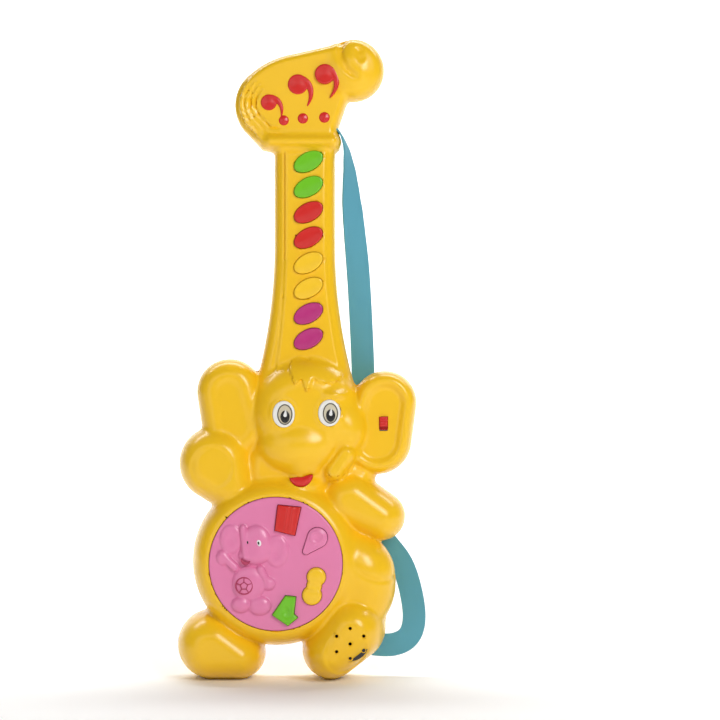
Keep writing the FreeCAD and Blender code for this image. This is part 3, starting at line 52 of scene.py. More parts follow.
# ---------------------------------------------------------------- places, in millimetres
# The parting plane of the two shells is at y = 9; a depth is measured ahead of it, towards -Y.
PARTING = 9.0
BELLY = (-12.0, 70.8, 51.0)
HIP = (22.4, 57.0, 37.0)
CHEST = (-4.2, 125.4, 28.8)
LEFT_FOOT = [(-51.3, 20.3, 20.7), (-34.2, 14.6, 15.0)]
RIGHT_FOOT = [(20.4, 17.0, 17.4), (33.0, 30.6, 20.4)]
HEAD = [(4.8, 158.4, 34.5), (3.6, 132.0, 18.0)]
RIGHT_EAR = [(52.8, 165.6, 19.2), (48.0, 143.4, 21.0)]
LEFT_EAR = [(-40.8, 172.2, 19.8), (-36.6, 152.4, 21.0)]
RIGHT_ARM = [(31.8, 107.4, 17.4), (50.4, 97.2, 14.7)]
LEFT_ARM = [(-48.8, 129.2, 22.4), (-39.0, 115.2, 15.6)]
NECK_X, NECK_HALF = 4.5, 18.3
NECK_LOW, NECK_HIGH = 176.0, 324.0
FLARE_TOP, FLARE_DROP, FLARE_RADIUS = 262.5, 80.0, 330.0
COLLAR = [(-15.9, 322.6, 5.1), (21.3, 322.6, 5.1)]
KNOB = (33.4, 366.0, 18.0)
KEY_X, KEY_TILT, KEY_HALF = 6.9, 28.0, (9.3, 5.5)
KEY_PITCH, TOP_KEY = 15.15, 310.1
KEY_COLOURS = ["green_plastic", "green_plastic", "red_plastic", "red_plastic",
               "yellow_plastic", "yellow_plastic", "magenta_plastic", "magenta_plastic"]
DISC = (-12.0, 70.8, 39.5)
DISC_TOP, DISC_THICK = 27.2, 3.4
EYES = {"left": (-7.4, 159.3), "right": (19.6, 160.0)}
EYE_HALF = (6.6, 7.9)
MOUTH = (2.4, 119.2)
SWITCH = (51.9, 154.5)
SPEAKER = (32.0, 24.4)
DOOR = (-12.0, 70.8, 24.8, 40.4)
DOOR_SCREWS = [(-12.0, 114.2), (-12.0, 27.4)]
CASE_SCREWS = [(35.1, 366.6), (-28.2, 337.5), (-2.5, 322.6), (4.5, 184.9), (-48.8, 176.2),
               (60.8, 170.6), (-52.8, 123.2), (50.4, 97.2), (-51.3, 20.3), (45.4, 63.0)]
CROTCHETS = [(-16.8, 345.6, 4.8, -50.0), (0.6, 356.4, 6.0, -68.0), (16.8, 362.4, 6.0, -78.0)]
DOTS = [(-7.8, 334.8, 3.1), (3.6, 336.0, 3.2), (16.5, 336.6, 3.3)]
WALL = 2.2
GAP = 0.3
FAR = 60.0                  # stands for a distance that is too long to matter
HEADSTOCK_FOOT = 312.0      # the headstock's outline is worked out above this height
SPLIT = 0.12                # each shell stops this far from the parting plane
FLOOR_GAP = 0.05            # nothing of the shells is lower than this


# ---------------------------------------------------------------- distance fields, in millimetres
def circle(x, z, cx, cz, radius):
    return np.hypot(x - cx, z - cz) - radius


def band(x, z, a, b):
    """Flat distance to the outline round two circles, as an elastic band lies."""
    length = math.hypot(b[0] - a[0], b[1] - a[1])
    if length <= abs(a[2] - b[2]):
        return circle(x, z, *max(a, b, key=lambda c: c[2]))
    ux, uz = (b[0] - a[0]) / length, (b[1] - a[1]) / length
    along = (x - a[0]) * ux + (z - a[1]) * uz
    across = np.abs((z - a[1]) * ux - (x - a[0]) * uz)
    lean = (a[2] - b[2]) / length
    slant = math.sqrt(1 - lean * lean)
    k = slant * along - lean * across
    flat = slant * across + lean * along - a[2]
    flat = np.where(k < 0, np.hypot(across, along) - a[2], flat)
    return np.where(k > slant * length, np.hypot(across, along - length) - b[2], flat)


def chain(x, z, circles):
    flat = band(x, z, circles[0], circles[1])
    for a, b in zip(circles[1:], circles[2:]):
        flat = np.minimum(flat, band(x, z, a, b))
    return flat


def oval(x, z, cx, cz, half_x, half_z, turn=0.0):
    c, s = math.cos(math.radians(turn)), math.sin(math.radians(turn))
    u, w = (x - cx) * c + (z - cz) * s, (z - cz) * c - (x - cx) * s
    near = np.hypot(u / half_x, w / half_z)
    steep = np.hypot(u / half_x ** 2, w / half_z ** 2)
    return near * (near - 1) / np.maximum(steep, 1e-6)


def polygon(x, z, points):
    """Flat signed distance to a closed outline."""
    px, pz = np.asarray(points, float).T
    best = np.full(np.shape(x), 1e9)
    odd = np.zeros(np.shape(x), bool)
    for n in range(len(px)):
        ax, az, bx, bz = px[n - 1], pz[n - 1], px[n], pz[n]
        ex, ez = bx - ax, bz - az
        share = np.clip(((x - ax) * ex + (z - az) * ez) / (ex * ex + ez * ez + 1e-9), 0, 1)
        best = np.minimum(best, (x - ax - ex * share) ** 2 + (z - az - ez * share) ** 2)
        crosses = (az > z) != (bz > z)
        odd ^= crosses & (x < ex * (z - az) / (ez if abs(ez) > 1e-9 else 1e-9) + ax)
    return np.where(odd, -1, 1) * np.sqrt(best)


def pad(flat, deep, depth, edge):
    """A pad that stands on the parting plane, its rim rounded over a run of edge."""
    u = np.maximum(flat + edge, 0.0)
    near = np.hypot(u / edge, deep / depth)
    steep = np.hypot(u / edge ** 2, deep / depth ** 2)
    return near * (near - 1) / np.maximum(steep, 1e-6)


def bulge(x, deep, z, centre, half):
    u, v, w = x - centre[0], deep - centre[1], z - centre[2]
    near = np.sqrt((u / half[0]) ** 2 + (v / half[1]) ** 2 + (w / half[2]) ** 2)
    steep = np.sqrt((u / half[0] ** 2) ** 2 + (v / half[1] ** 2) ** 2 + (w / half[2] ** 2) ** 2)
    return near * (near - 1) / np.maximum(steep, 1e-6)


def limb(x, deep, z, a, b):
    """A round-ended bar between two (x, depth, z, radius) points."""
    d = np.array(b[:3]) - a[:3]
    share = np.clip(((x - a[0]) * d[0] + (deep - a[1]) * d[1] + (z - a[2]) * d[2]) / (d @ d), 0, 1)
    gap = np.sqrt((x - a[0] - d[0] * share) ** 2 + (deep - a[1] - d[1] * share) ** 2
                  + (z - a[2] - d[2] * share) ** 2)
    return gap - a[3] - (b[3] - a[3]) * share


def blend_in(a, b, soft):
    """Union of two fields with a soft crease."""
    h = np.clip(0.5 + 0.5 * (b - a) / soft, 0, 1)
    return b + (a - b) * h - soft * h * (1 - h)


def cut_out(a, b, soft):
    return -blend_in(-a, b, soft)


def ramp(value, low, high):
    t = np.clip((value - low) / (high - low), 0, 1)
    return t * t * (3 - 2 * t)


def groove(value, half):
    """1 in the middle of a groove and 0 at its sides."""
    return np.exp(-(value / half) ** 2)


def arc_points(a, b, c, steps):
    """Points along the arc from a to c through b."""
    a, b, c = np.array(a), np.array(b), np.array(c)
    m = 2 * np.array([b - a, c - a])
    o = np.linalg.solve(m, [b @ b - a @ a, c @ c - a @ a])
    radius = np.linalg.norm(a - o)
    t0, t1, t2 = (math.atan2(*(p - o)[::-1]) for p in (a, b, c))
    swing = (t2 - t0) % (2 * math.pi)
    if (t1 - t0) % (2 * math.pi) > swing:
        swing -= 2 * math.pi
    return [tuple(o + radius * np.array([math.cos(t0 + swing * s), math.sin(t0 + swing * s)]))
            for s in np.linspace(0, 1, steps)]


def turned(cx, cz, radius, degrees):
    return (cx + radius * math.cos(math.radians(degrees)), cz + radius * math.sin(math.radians(degrees)))


# ---------------------------------------------------------------- outlines
def headstock_outline():
    low, side, high = (turned(*KNOB, t) for t in (-98, 7, 112))
    return ([(24.6, 318.0), (24.6, 330.3)] + arc_points(low, side, high, 18)
            + arc_points((-2.0, 376.2), (-17.6, 371.2), (-28.6, 363.8), 10)
            + arc_points((-28.6, 363.8), (-37.7, 345.5), (-30.6, 328.0), 14)[1:] + [(-21.0, 318.0)])


def headstock_flat(x, z):
    """Flat distance to the headstock's outline, worked out only where it is near."""
    flat = np.full(np.shape(x + z), FAR)
    near = np.broadcast_to(z, flat.shape) > HEADSTOCK_FOOT
    if near.any():
        hx, hz = np.broadcast_to(x, flat.shape)[near], np.broadcast_to(z, flat.shape)[near]
        flat[near] = polygon(hx, hz, headstock_outline())
    return flat


def eyes_flat(x, z, room):
    left, right = (oval(x, z, cx, cz, EYE_HALF[0] + room, EYE_HALF[1] + room) for cx, cz in EYES.values())
    return np.minimum(left, right)


def tuft_flat(x, z):
    """The forelock: two pointed locks and the sweep of hair over the right side."""
    left = band(x, z, (1.8, 187.2, 6.2), (-0.4, 178.0, 1.0))
    middle = band(x, z, (6.6, 186.0, 5.4), (6.4, 172.9, 0.5))
    sweep = circle(x, z, 18.5, 189.0, 11.5)
    return np.minimum(np.minimum(left, middle), sweep)


def neck_flat(x, z):
    """The neck: straight sides that flare along an arc below FLARE_TOP."""
    drop = np.clip(FLARE_TOP - z, 0, FLARE_DROP)
    half = NECK_HALF + FLARE_RADIUS - np.sqrt(FLARE_RADIUS ** 2 - drop ** 2)
    return np.maximum(np.abs(x - NECK_X) - half, np.maximum(NECK_LOW - z, z - NECK_HIGH))


def panel_flat(x, z):
    """The raised strip of the neck that the keys sit in."""
    s = np.clip((262.0 - z) / 68.0, 0, 1.2) ** 2
    return np.maximum(np.maximum(-6.9 - 4.5 * s - x, x - 17.4 - 7.0 * s), z - 316.0)


# ---------------------------------------------------------------- the two shells
def ear(x, z, deep, circles, depth, edge, dish):
    flat = band(x, z, *circles)
    return pad(flat, deep, depth - dish * ramp(-flat, edge, edge + 5.0), edge)


def wrinkles(x, z, outline):
    """Creases that follow the left end of the headstock."""
    sector = ramp(-x - 0.55 * (z - 330.0), 5.0, 13.0) * ramp(z, 322.0, 329.0) * (1 - ramp(z, 352.0, 364.0))
    steps = sum(ramp(outline + offset, -0.35, 0.35) - ramp(outline + offset, 0.35, 3.2)
                for offset in (3.4, 6.7, 10.0, 13.3))
    return 1.35 * sector * steps


def knob_dents(x, z):
    """The rolled end of the headstock: a long outer fold and a short inner one."""
    def fold(cx, cz, radius, low, high, half):
        turn = np.degrees(np.arctan2(z - cz, x - cx)) % 360
        inside = ramp(turn, low, low + 20) * (1 - ramp(turn, high - 25, high))
        return inside * groove(np.hypot(x - cx, z - cz) - radius, half)
    return 2.0 * fold(42.6, 376.0, 16.4, 135, 258, 2.0) + 1.3 * fold(43.6, 375.6, 6.6, 150, 245, 2.2)


def front_outer(x, y, z):
    v = PARTING - y
    deep = np.maximum(v, 0.0)
    body = pad(circle(x, z, *BELLY), deep, 27.0, 11.3)
    hip = pad(circle(x, z, *HIP), deep, 23.0, 17.0)
    hip = blend_in(hip, bulge(x, v, z, (38.0, 8.0, 66.0), (19.0, 16.5, 17.0)), 5.0)
    hip = hip + 0.7 * groove(circle(x, z, 52.0, 84.0, 24.0), 1.6) * ramp(x, 32.0, 40.0)
    body = blend_in(body, hip, 3.5)
    body = blend_in(body, pad(circle(x, z, *CHEST), deep, 16.0, 12.0), 4.0)
    foot = pad(band(x, z, *LEFT_FOOT), deep, 28.0, 15.0)
    body = blend_in(body, foot, 2.2)
    foot = pad(band(x, z, *RIGHT_FOOT), deep, 34.0, 16.0)
    sole = oval(x, z, 29.5, 19.5, 12.5, 15.0, -24.0)
    foot = foot + 0.9 * ramp(-sole, 0.0, 1.6) * (1 - ramp(z, 16.0, 34.0))
    body = blend_in(body, foot, 2.0)
    shoulder = pad(band(x, z, (30.0, 122.0, 12.0), (39.0, 122.5, 8.5)), deep, 12.0, 9.0)
    body = blend_in(body, shoulder, 3.0)
    arm = pad(band(x, z, *RIGHT_ARM), deep, 21.0, 14.0)
    body = blend_in(body, arm, 2.4)
    arm = pad(band(x, z, *LEFT_ARM), deep, 22.0, 14.0)
    arm = arm + 0.8 * ramp(-circle(x, z, -50.4, 127.6, 13.0), -0.8, 1.6)
    body = blend_in(body, arm, 2.4)
    ears = ear(x, z, deep, RIGHT_EAR, 14.0, 6.0, 2.5)
    left = ear(x, z, deep, LEFT_EAR, 15.0, 10.0, 0.6)
    body = blend_in(body, ears, 2.0)
    body = blend_in(body, left, 2.5)
    neck = pad(neck_flat(x, z), deep, 10.8, 7.5)
    neck = neck - 1.1 * ramp(-panel_flat(x, z), -0.5, 0.5)
    top = pad(band(x, z, *COLLAR), deep, 15.0, 5.0)
    high = headstock_flat(x, z)
    stock = pad(high, deep, 12.0, 5.5) + wrinkles(x, z, high)
    knob = pad(circle(x, z, *KNOB), deep, 16.0, 15.0)
    stock = blend_in(stock, knob, 4.0) + knob_dents(x, z)
    upper = blend_in(blend_in(neck, top, 4.0), stock, 3.0)
    head = pad(band(x, z, *HEAD), deep, 24.0, 19.0)
    head = head - 1.7 * ramp(-tuft_flat(x, z), -0.4, 0.6)
    sockets = eyes_flat(x, z, 2.0)
    head = head - 0.5 * ramp(-sockets, -0.6, 0.8)
    head = blend_in(head, bulge(x, v, z, (21.5, 17.0, 170.5), (8.0, 9.0, 3.2)), 2.5)
    snout = bulge(x, v, z, (1.0, 12.0, 140.5), (24.5, 15.5, 16.8))
    tip = pad(band(x, z, (29.4, 135.2, 8.0), (22.5, 125.5, 8.0)), deep, 22.5, 6.0)
    cheeks = bulge(x, v, z, (30.0, 8.0, 150.0), (12.0, 14.0, 16.0))
    lip = bulge(x, v, z, (2.2, 11.0, 116.6), (13.0, 11.6, 8.0))
    head = blend_in(head, cheeks, 4.0)
    head = blend_in(head, tip, 2.0)
    head = blend_in(head, lip, 2.0)
    head = blend_in(head, snout, 1.6)
    body = blend_in(body, head, 2.2)
    return blend_in(body, upper, 3.0)


def back_outer(x, y, z):
    v = y - PARTING
    deep = np.maximum(v, 0.0)
    body = pad(circle(x, z, *BELLY), deep, 16.0, 9.5)
    body = blend_in(body, pad(circle(x, z, *HIP), deep, 15.8, 12.0), 4.0)
    body = blend_in(body, pad(circle(x, z, *CHEST), deep, 13.0, 10.0), 5.0)
    for feet in (LEFT_FOOT, RIGHT_FOOT):
        body = blend_in(body, pad(band(x, z, *feet), deep, 15.8, 10.0), 3.0)
    for arm in (RIGHT_ARM, LEFT_ARM):
        body = blend_in(body, pad(band(x, z, *arm), deep, 10.0, 9.0), 3.0)
    for side in (RIGHT_EAR, LEFT_EAR):
        body = blend_in(body, pad(band(x, z, *side), deep, 7.0, 6.0), 2.5)
    body = blend_in(body, pad(band(x, z, *HEAD), deep, 14.0, 13.0), 4.0)
    neck = pad(neck_flat(x, z), deep, 12.0, 13.0)
    collar = pad(band(x, z, *COLLAR), deep, 12.0, 5.0)
    high = headstock_flat(x, z)
    stock = blend_in(pad(high, deep, 9.0, 5.5), pad(circle(x, z, *KNOB), deep, 10.0, 9.0), 3.0)
    upper = blend_in(blend_in(neck, collar, 3.0), stock, 3.0)
    return blend_in(body, upper, 4.0)


def key_centres():
    return [TOP_KEY - n * KEY_PITCH for n in range(len(KEY_COLOURS))]


def mouth_flat(x, z, grow=0.0):
    """A half-moon, flat side up, lifted at its right corner."""
    lower = circle(x, z, MOUTH[0] + 0.2, MOUTH[1] + 4.0, 7.2 + grow)
    upper = (z - MOUTH[1] - 3.0 - 0.16 * (x - MOUTH[0])
             + 0.5 * np.exp(-((x - MOUTH[0] - 1) / 2.2) ** 2)) - grow
    return cut_out(lower, -upper, 0.4)


def front_openings(x, y, z):
    v = PARTING - y
    keys = np.full(np.shape(x + z), FAR)
    for cz in key_centres():
        keys = np.minimum(keys, oval(x, z, KEY_X, cz, KEY_HALF[0] + GAP, KEY_HALF[1] + GAP, KEY_TILT))
    disc = circle(x, z, DISC[0], DISC[1], DISC[2] + GAP)
    eyes = eyes_flat(x, z, 0.1)
    mouth = mouth_flat(x, z, 0.1)
    slot = np.maximum(np.abs(x - SWITCH[0]) - 2.75, np.abs(z - SWITCH[1] + 1.2) - 4.4)
    sounds = np.min([circle(x, z, *place, 1.3) for place in sound_places()], axis=0)
    cuts = np.minimum(np.minimum(keys, disc), np.minimum(eyes, mouth))
    return np.maximum(np.minimum(np.minimum(cuts, slot), sounds), -v + 2.0)


def sound_places():
    return [SPEAKER] + [turned(*SPEAKER, 9.2, 90 + 60 * n) for n in range(6)]


def door_flat(x, z, room):
    half_x, half_z = DOOR[2] + room - 3.0, DOOR[3] + room - 3.0
    qx, qz = np.abs(x - DOOR[0]) - half_x, np.abs(z - DOOR[1]) - half_z
    plate = np.hypot(np.maximum(qx, 0), np.maximum(qz, 0)) + np.minimum(np.maximum(qx, qz), 0) - 3.0
    tabs = band(x, z, (*DOOR_SCREWS[0], 6.0 + room), (*DOOR_SCREWS[1], 6.0 + room))
    return np.minimum(plate, tabs)


def back_openings(x, y, z):
    v = y - PARTING
    door = np.maximum(door_flat(x, z, GAP), 13.9 - v)
    cells = np.maximum(np.maximum(np.abs(x - DOOR[0]) - 22.4, np.abs(z - DOOR[1]) - 29.0), -v)
    wells = np.min([circle(x, z, *place, 3.1) for place in CASE_SCREWS], axis=0)
    return np.minimum(np.minimum(door, cells), np.maximum(wells, 1.0 - v))


def screw_posts(x, z, radius):
    return np.min([circle(x, z, *place, radius) for place in CASE_SCREWS], axis=0)


def front_parts():
    """The front shell as an intersection of fields, each negative inside what it keeps."""
    return [front_outer,
            lambda x, y, z: np.minimum(-front_outer(x, y, z) - WALL, screw_posts(x, z, 3.2)),
            lambda x, y, z: y - PARTING + SPLIT + 0 * (x + z),
            lambda x, y, z: FLOOR_GAP - z + 0 * (x + y),
            lambda x, y, z: -front_openings(x, y, z)]


def back_parts():
    return [back_outer,
            lambda x, y, z: np.minimum(-back_outer(x, y, z) - WALL,
                                       np.minimum(screw_posts(x, z, 4.5),
                                                  np.maximum(door_flat(x, z, 2.1), PARTING + 11.8 - y))),
            lambda x, y, z: PARTING + SPLIT - y + 0 * (x + z),
            lambda x, y, z: FLOOR_GAP - z + 0 * (x + y),
            lambda x, y, z: -back_openings(x, y, z)]


# ---------------------------------------------------------------- from fields to meshes
# Lengths here are shares of the grid's step.
CREASE_REACH = 0.62         # a point this near to two parts lies on their crease
CREASE_MOVE = 1.1           # a point that would move further stays where it was
PULL_REACH = 0.5            # the longest move in one pull
GRID_LEAD = 1.37            # how far the grid starts before the box
FIRST_EVEN, NEXT_EVEN = 0.4, 0.6
BLOCK_CELLS = 400000        # cells whose fields are worked out at one time


def gather_quads(inside, ids, counts):
    faces = []
    for a in range(3):
        b, c = (a + 1) % 3, (a + 2) % 3
        low, high = [slice(None)] * 3, [slice(None)] * 3
        low[a], high[a] = slice(0, -1), slice(1, None)
        at = np.argwhere(inside[tuple(low)] != inside[tuple(high)])
        keep = (at[:, b] > 0) & (at[:, c] > 0) & (at[:, b] < counts[b] - 1) & (at[:, c] < counts[c] - 1)
        at = at[keep]
        corners = []
        for db, dc in ((1, 1), (0, 1), (0, 0), (1, 0)):
            cell = at.copy()
            cell[:, b] -= db
            cell[:, c] -= dc
            corners.append(ids[tuple(cell.T)])
        quads = np.stack(corners, 1)
        wrong = ~inside[tuple(at.T)]
        quads[wrong] = quads[wrong][:, ::-1]
        faces.append(quads)
    return np.concatenate(faces)


def pull(points, part, reach):
    """Moves points towards the zero of one field, by no more than reach."""
    tiny = 0.02
    x, y, z = points.T
    value = part(x, y, z)
    slope = np.stack([part(x + tiny, y, z) - value, part(x, y + tiny, z) - value,
                      part(x, y, z + tiny) - value], 1) / tiny
    step = slope * (value / np.maximum((slope * slope).sum(1), 0.15))[:, None]
    size = np.linalg.norm(step, axis=1, keepdims=True)
    return points - step * np.minimum(1.0, reach / np.maximum(size, 1e-9))


def to_surface(points, parts, step, rounds):
    """Moves points onto the surface of the intersection of the parts."""
    points = points.copy()
    for _ in range(rounds):
        worst = np.argmax([part(*points.T) for part in parts], axis=0)
        for n, part in enumerate(parts):
            chosen = worst == n
            if chosen.any():
                points[chosen] = pull(points[chosen], part, PULL_REACH * step)
    return points


def settle(points, parts, step):
    """Puts each point on the surface, and on the crease where two parts of it meet; marks the creases."""
    start = points.copy()
    points = to_surface(points, parts, step, 2)
    close = np.abs([part(*points.T) for part in parts]) < CREASE_REACH * step
    crease = np.flatnonzero(close.sum(0) > 1)
    held = np.zeros(len(points), bool)
    if len(crease):
        moved = points[crease]
        for _ in range(5):
            for n, part in enumerate(parts):
                chosen = close[n, crease]
                if chosen.any():
                    moved[chosen] = pull(moved[chosen], part, PULL_REACH * step)
        far = np.linalg.norm(moved - start[crease], axis=1) > CREASE_MOVE * step
        moved[far] = points[crease[far]]
        points[crease] = moved
        held[crease[~far]] = True
    return points, held


def even_out(points, quads, share):
    """Moves each point part of the way to the middle of its neighbours."""
    first = np.concatenate([quads[:, k] for k in range(4)] * 2)
    second = np.concatenate([quads[:, (k + 1) % 4] for k in range(4)]
                            + [quads[:, (k - 1) % 4] for k in range(4)])
    count = np.bincount(first, minlength=len(points))[:, None]
    total = np.stack([np.bincount(first, points[second, a], len(points)) for a in range(3)], 1)
    return points + share * (total / count - points)


def skin(parts, low, high, step):
    """Points and quads of the surface of the intersection of the parts."""
    counts = [int(math.ceil((h - l) / step)) + 4 for l, h in zip(low, high)]
    axes = [l - GRID_LEAD * step + step * np.arange(n) for l, n in zip(low, counts)]
    field = np.empty(counts)
    rows = max(1, int(BLOCK_CELLS / (counts[1] * counts[2])))
    for i in range(0, counts[0], rows):
        block = np.ix_(axes[0][i:i + rows], axes[1], axes[2])
        x, y, z = np.broadcast_arrays(*block)
        field[i:i + rows] = np.max([part(x, y, z) for part in parts], axis=0)
    inside = field < 0
    corners = [(i, j, k) for i in (0, 1) for j in (0, 1) for k in (0, 1)]
    cells = tuple(n - 1 for n in counts)
    total = np.zeros(cells, np.int8)
    for i, j, k in corners:
        total += inside[i:i + cells[0], j:j + cells[1], k:k + cells[2]]
    mixed = (total > 0) & (total < 8)
    at = np.argwhere(mixed)
    ids = np.full(cells, -1, np.int64)
    ids[mixed] = np.arange(len(at))
    spot, hits = np.zeros((len(at), 3)), np.zeros(len(at))
    for a in range(3):
        for corner in corners:
            if corner[a]:
                continue
            other = list(corner)
            other[a] = 1
            first = field[tuple((at + corner).T)]
            second = field[tuple((at + other).T)]
            cross = (first < 0) != (second < 0)
            share = np.where(cross, first / np.where(cross, first - second, 1.0), 0.0)
            place = np.array(corner, float) + np.zeros((len(at), 3))
            place[:, a] = share
            spot[cross] += place[cross]
            hits += cross
    origin = np.array([axis[0] for axis in axes])
    points = origin + (at + spot / hits[:, None]) * step
    quads = gather_quads(inside, ids, counts)
    points, held = settle(even_out(points, quads, FIRST_EVEN), parts, step)
    for _ in range(3):
        free = to_surface(even_out(points, quads, NEXT_EVEN), parts, step, 1)
        points = np.where(held[:, None], points, free)
    return points, quads


def place_mesh(name, points, faces, material, smooth=38.0):
    """An object from points in millimetres; edges sharper than smooth stay sharp."""
    mesh = bpy.data.meshes.new(name)
    mesh.from_pydata((np.asarray(points) * MM).tolist(), [], [list(map(int, f)) for f in faces])
    mesh.validate()
    mesh.materials.append(material)
    piece = bpy.data.objects.new(name, mesh)
    bpy.context.scene.collection.objects.link(piece)
    mesh.shade_smooth()
    mesh.set_sharp_from_angle(angle=math.radians(smooth))
    return piece


def field_piece(name, parts, low, high, step, material, smooth=38.0):
    points, quads = skin(parts, low, high, step)
    return place_mesh(name, points, quads, material, smooth)


def stand_in(piece, body, slot, *nodes):
    """Puts a piece on its body, in place of the nodes it stands for, which it hides; the slot is not used."""
    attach(piece, body)
    if nodes:
        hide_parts(*nodes)


def rings_piece(name, rings, material, smooth=38.0, closed=False):
    """A skin over rings of points, closed to a fan at both ends, or joined end to end."""
    rings = [np.asarray(ring, float) for ring in rings]
    count = len(rings[0])
    points, faces = np.concatenate(rings), []
    for n in range(len(rings) - 1 + closed):
        a, b = n * count, ((n + 1) % len(rings)) * count
        faces += [(a + k, a + (k + 1) % count, b + (k + 1) % count, b + k) for k in range(count)]
    if not closed:
        for first, flip in ((0, True), ((len(rings) - 1) * count, False)):
            middle = len(points)
            points = np.vstack([points, points[first:first + count].mean(0)])
            faces += [(first + k, middle, first + (k + 1) % count) if flip
                      else (first + k, first + (k + 1) % count, middle) for k in range(count)]
    piece = place_mesh(name, points, faces, material, smooth)
    point_outwards(piece)
    return piece


def point_outwards(piece):
    """Turns the faces of a closed mesh outwards, by the sign of its volume."""
    mesh = piece.data
    total = 0.0
    mesh.calc_loop_triangles()
    for triangle in mesh.loop_triangles:
        a, b, c = (mesh.vertices[v].co for v in triangle.vertices)
        total += a.dot(b.cross(c))
    if total < 0:
        mesh.flip_normals()


# ---------------------------------------------------------------- shader node groups
def socket(group, name, kind, way, value=None):
    item = group.interface.new_socket(name=name, in_out=way, socket_type=kind)
    if value is not None:
        item.default_value = value
    return item


def node(tree, kind, **settings):
    made = tree.nodes.new(kind)
    for key, value in settings.items():
        setattr(made, key, value)
    return made


def feed(tree, made, inputs):
    """Sets a node's inputs by name or number: a socket is linked, anything else is its value."""
    for key, value in inputs.items():
        if isinstance(value, bpy.types.NodeSocket):
            tree.links.new(value, made.inputs[key])
        else:
            made.inputs[key].default_value = value
    return made


def noise(tree, vector, scale, detail=3.0, roughness=0.5):
    return feed(tree, node(tree, "ShaderNodeTexNoise"),
                {"Vector": vector, "Scale": scale, "Detail": detail, "Roughness": roughness}).outputs["Fac"]


def maths(tree, operation, a, b=0.0):
    return feed(tree, node(tree, "ShaderNodeMath", operation=operation), {0: a, 1: b}).outputs[0]


def spread(tree, value, low, high, to_low, to_high):
    return feed(tree, node(tree, "ShaderNodeMapRange"),
                {"Value": value, "From Min": low, "From Max": high, "To Min": to_low,
                 "To Max": to_high}).outputs["Result"]


def mix_colour(tree, share, a, b):
    mixed = node(tree, "ShaderNodeMix", data_type="RGBA")
    feed(tree, mixed, {0: share, 6: a, 7: b})
    return mixed.outputs[2]


def look_group(name, inputs):
    """A shader group with its inputs, and the outputs Colour, Roughness and Height."""
    group = bpy.data.node_groups.new(name, "ShaderNodeTree")
    for label, value in inputs.items():
        kind = "NodeSocketColor" if isinstance(value, tuple) else "NodeSocketFloat"
        socket(group, label, kind, "INPUT", value)
    for label, kind in (("Colour", "NodeSocketColor"), ("Roughness", "NodeSocketFloat"),
                        ("Height", "NodeSocketFloat")):
        socket(group, label, kind, "OUTPUT")
    return group, node(group, "NodeGroupInput").outputs, node(group, "NodeGroupOutput")


def moulded_group():
    """Moulded plastic: slow drift of tone, a faint skin texture, hairline scratches and settled dust."""
    group, given, end = look_group("Moulded Plastic", {
        "Base": (0.8, 0.8, 0.8, 1), "Deep": (0.6, 0.6, 0.6, 1), "Gloss": 0.15, "Wear": 0.3,
        "Grain Scale": 420.0})
    where = node(group, "ShaderNodeTexCoord").outputs["Object"]
    drift = spread(group, noise(group, where, 22.0, 2.0), 0.35, 0.7, 0.0, 1.0)
    toned = mix_colour(group, maths(group, "MULTIPLY", drift, 0.55), given["Base"], given["Deep"])
    specks = spread(group, noise(group, where, 900.0, 2.0), 0.68, 0.8, 0.0, 0.3)
    specks = maths(group, "MULTIPLY", specks, given["Wear"])
    toned = mix_colour(group, specks, toned, (0.75, 0.72, 0.66, 1))
    drawn = feed(group, node(group, "ShaderNodeMapping"),
                 {"Vector": where, "Rotation": (0.3, 0.6, 0.9), "Scale": (1.0, 1.0, 14.0)})
    hairs = spread(group, noise(group, drawn.outputs["Vector"], 140.0, 2.0), 0.66, 0.74, 0.0, 1.0)
    smear = spread(group, noise(group, where, 60.0, 4.0), 0.4, 0.75, 0.0, 1.0)
    marks = maths(group, "ADD", maths(group, "MULTIPLY", hairs, 0.16), maths(group, "MULTIPLY", smear, 0.14))
    rough = maths(group, "ADD", given["Gloss"], maths(group, "MULTIPLY", given["Wear"], marks))
    grain = noise(group, where, given["Grain Scale"], 2.0)
    scratch = maths(group, "MULTIPLY", hairs, maths(group, "MULTIPLY", given["Wear"], 0.35))
    height = maths(group, "SUBTRACT", maths(group, "MULTIPLY", grain, 0.5), scratch)
    feed(group, end, {"Colour": toned, "Roughness": rough, "Height": height})


def weave_group():
    """A flat woven ribbon: warp and weft cross by the piece's own UV map, in millimetres; its colour is
    painted shade, Light on the raised threads and Dark in the gaps between them.
    """
    group, given, end = look_group("Ribbon Weave", {
        "Light": (0.2, 0.5, 0.6, 1), "Dark": (0.1, 0.3, 0.4, 1), "Threads": 2.2})
    where = node(group, "ShaderNodeTexCoord").outputs["UV"]
    chart = feed(group, node(group, "ShaderNodeSeparateXYZ"), {0: where}).outputs

    def thread(value):
        turns = maths(group, "MULTIPLY", maths(group, "MULTIPLY", value, given["Threads"]), math.pi * 2)
        return maths(group, "SINE", turns)
    cross = maths(group, "MULTIPLY", thread(chart["X"]), thread(chart["Y"]))
    height = spread(group, cross, -1.0, 1.0, 0.0, 1.0)
    fuzz = noise(group, where, 0.8, 4.0, 0.7)
    # painted shade: share follows the weave's height with a little noise, so the colour below is Dark in the
    # gaps between threads and Light on the raised threads
    share = maths(group, "ADD", maths(group, "MULTIPLY", height, 0.5), maths(group, "MULTIPLY", fuzz, 0.5))
    rib = spread(group, maths(group, "ABSOLUTE", chart["X"]), 5.6, 6.6, 0.0, 1.0)
    toned = mix_colour(group, spread(group, share, 0.2, 0.9, 0.0, 1.0), given["Dark"], given["Light"])
    # the ribbon's edges are toned a little further towards Dark
    toned = mix_colour(group, maths(group, "MULTIPLY", rib, 0.35), toned, given["Dark"])
    rough = spread(group, share, 0.0, 1.0, 0.62, 0.42)
    feed(group, end, {"Colour": toned, "Roughness": rough, "Height": height})


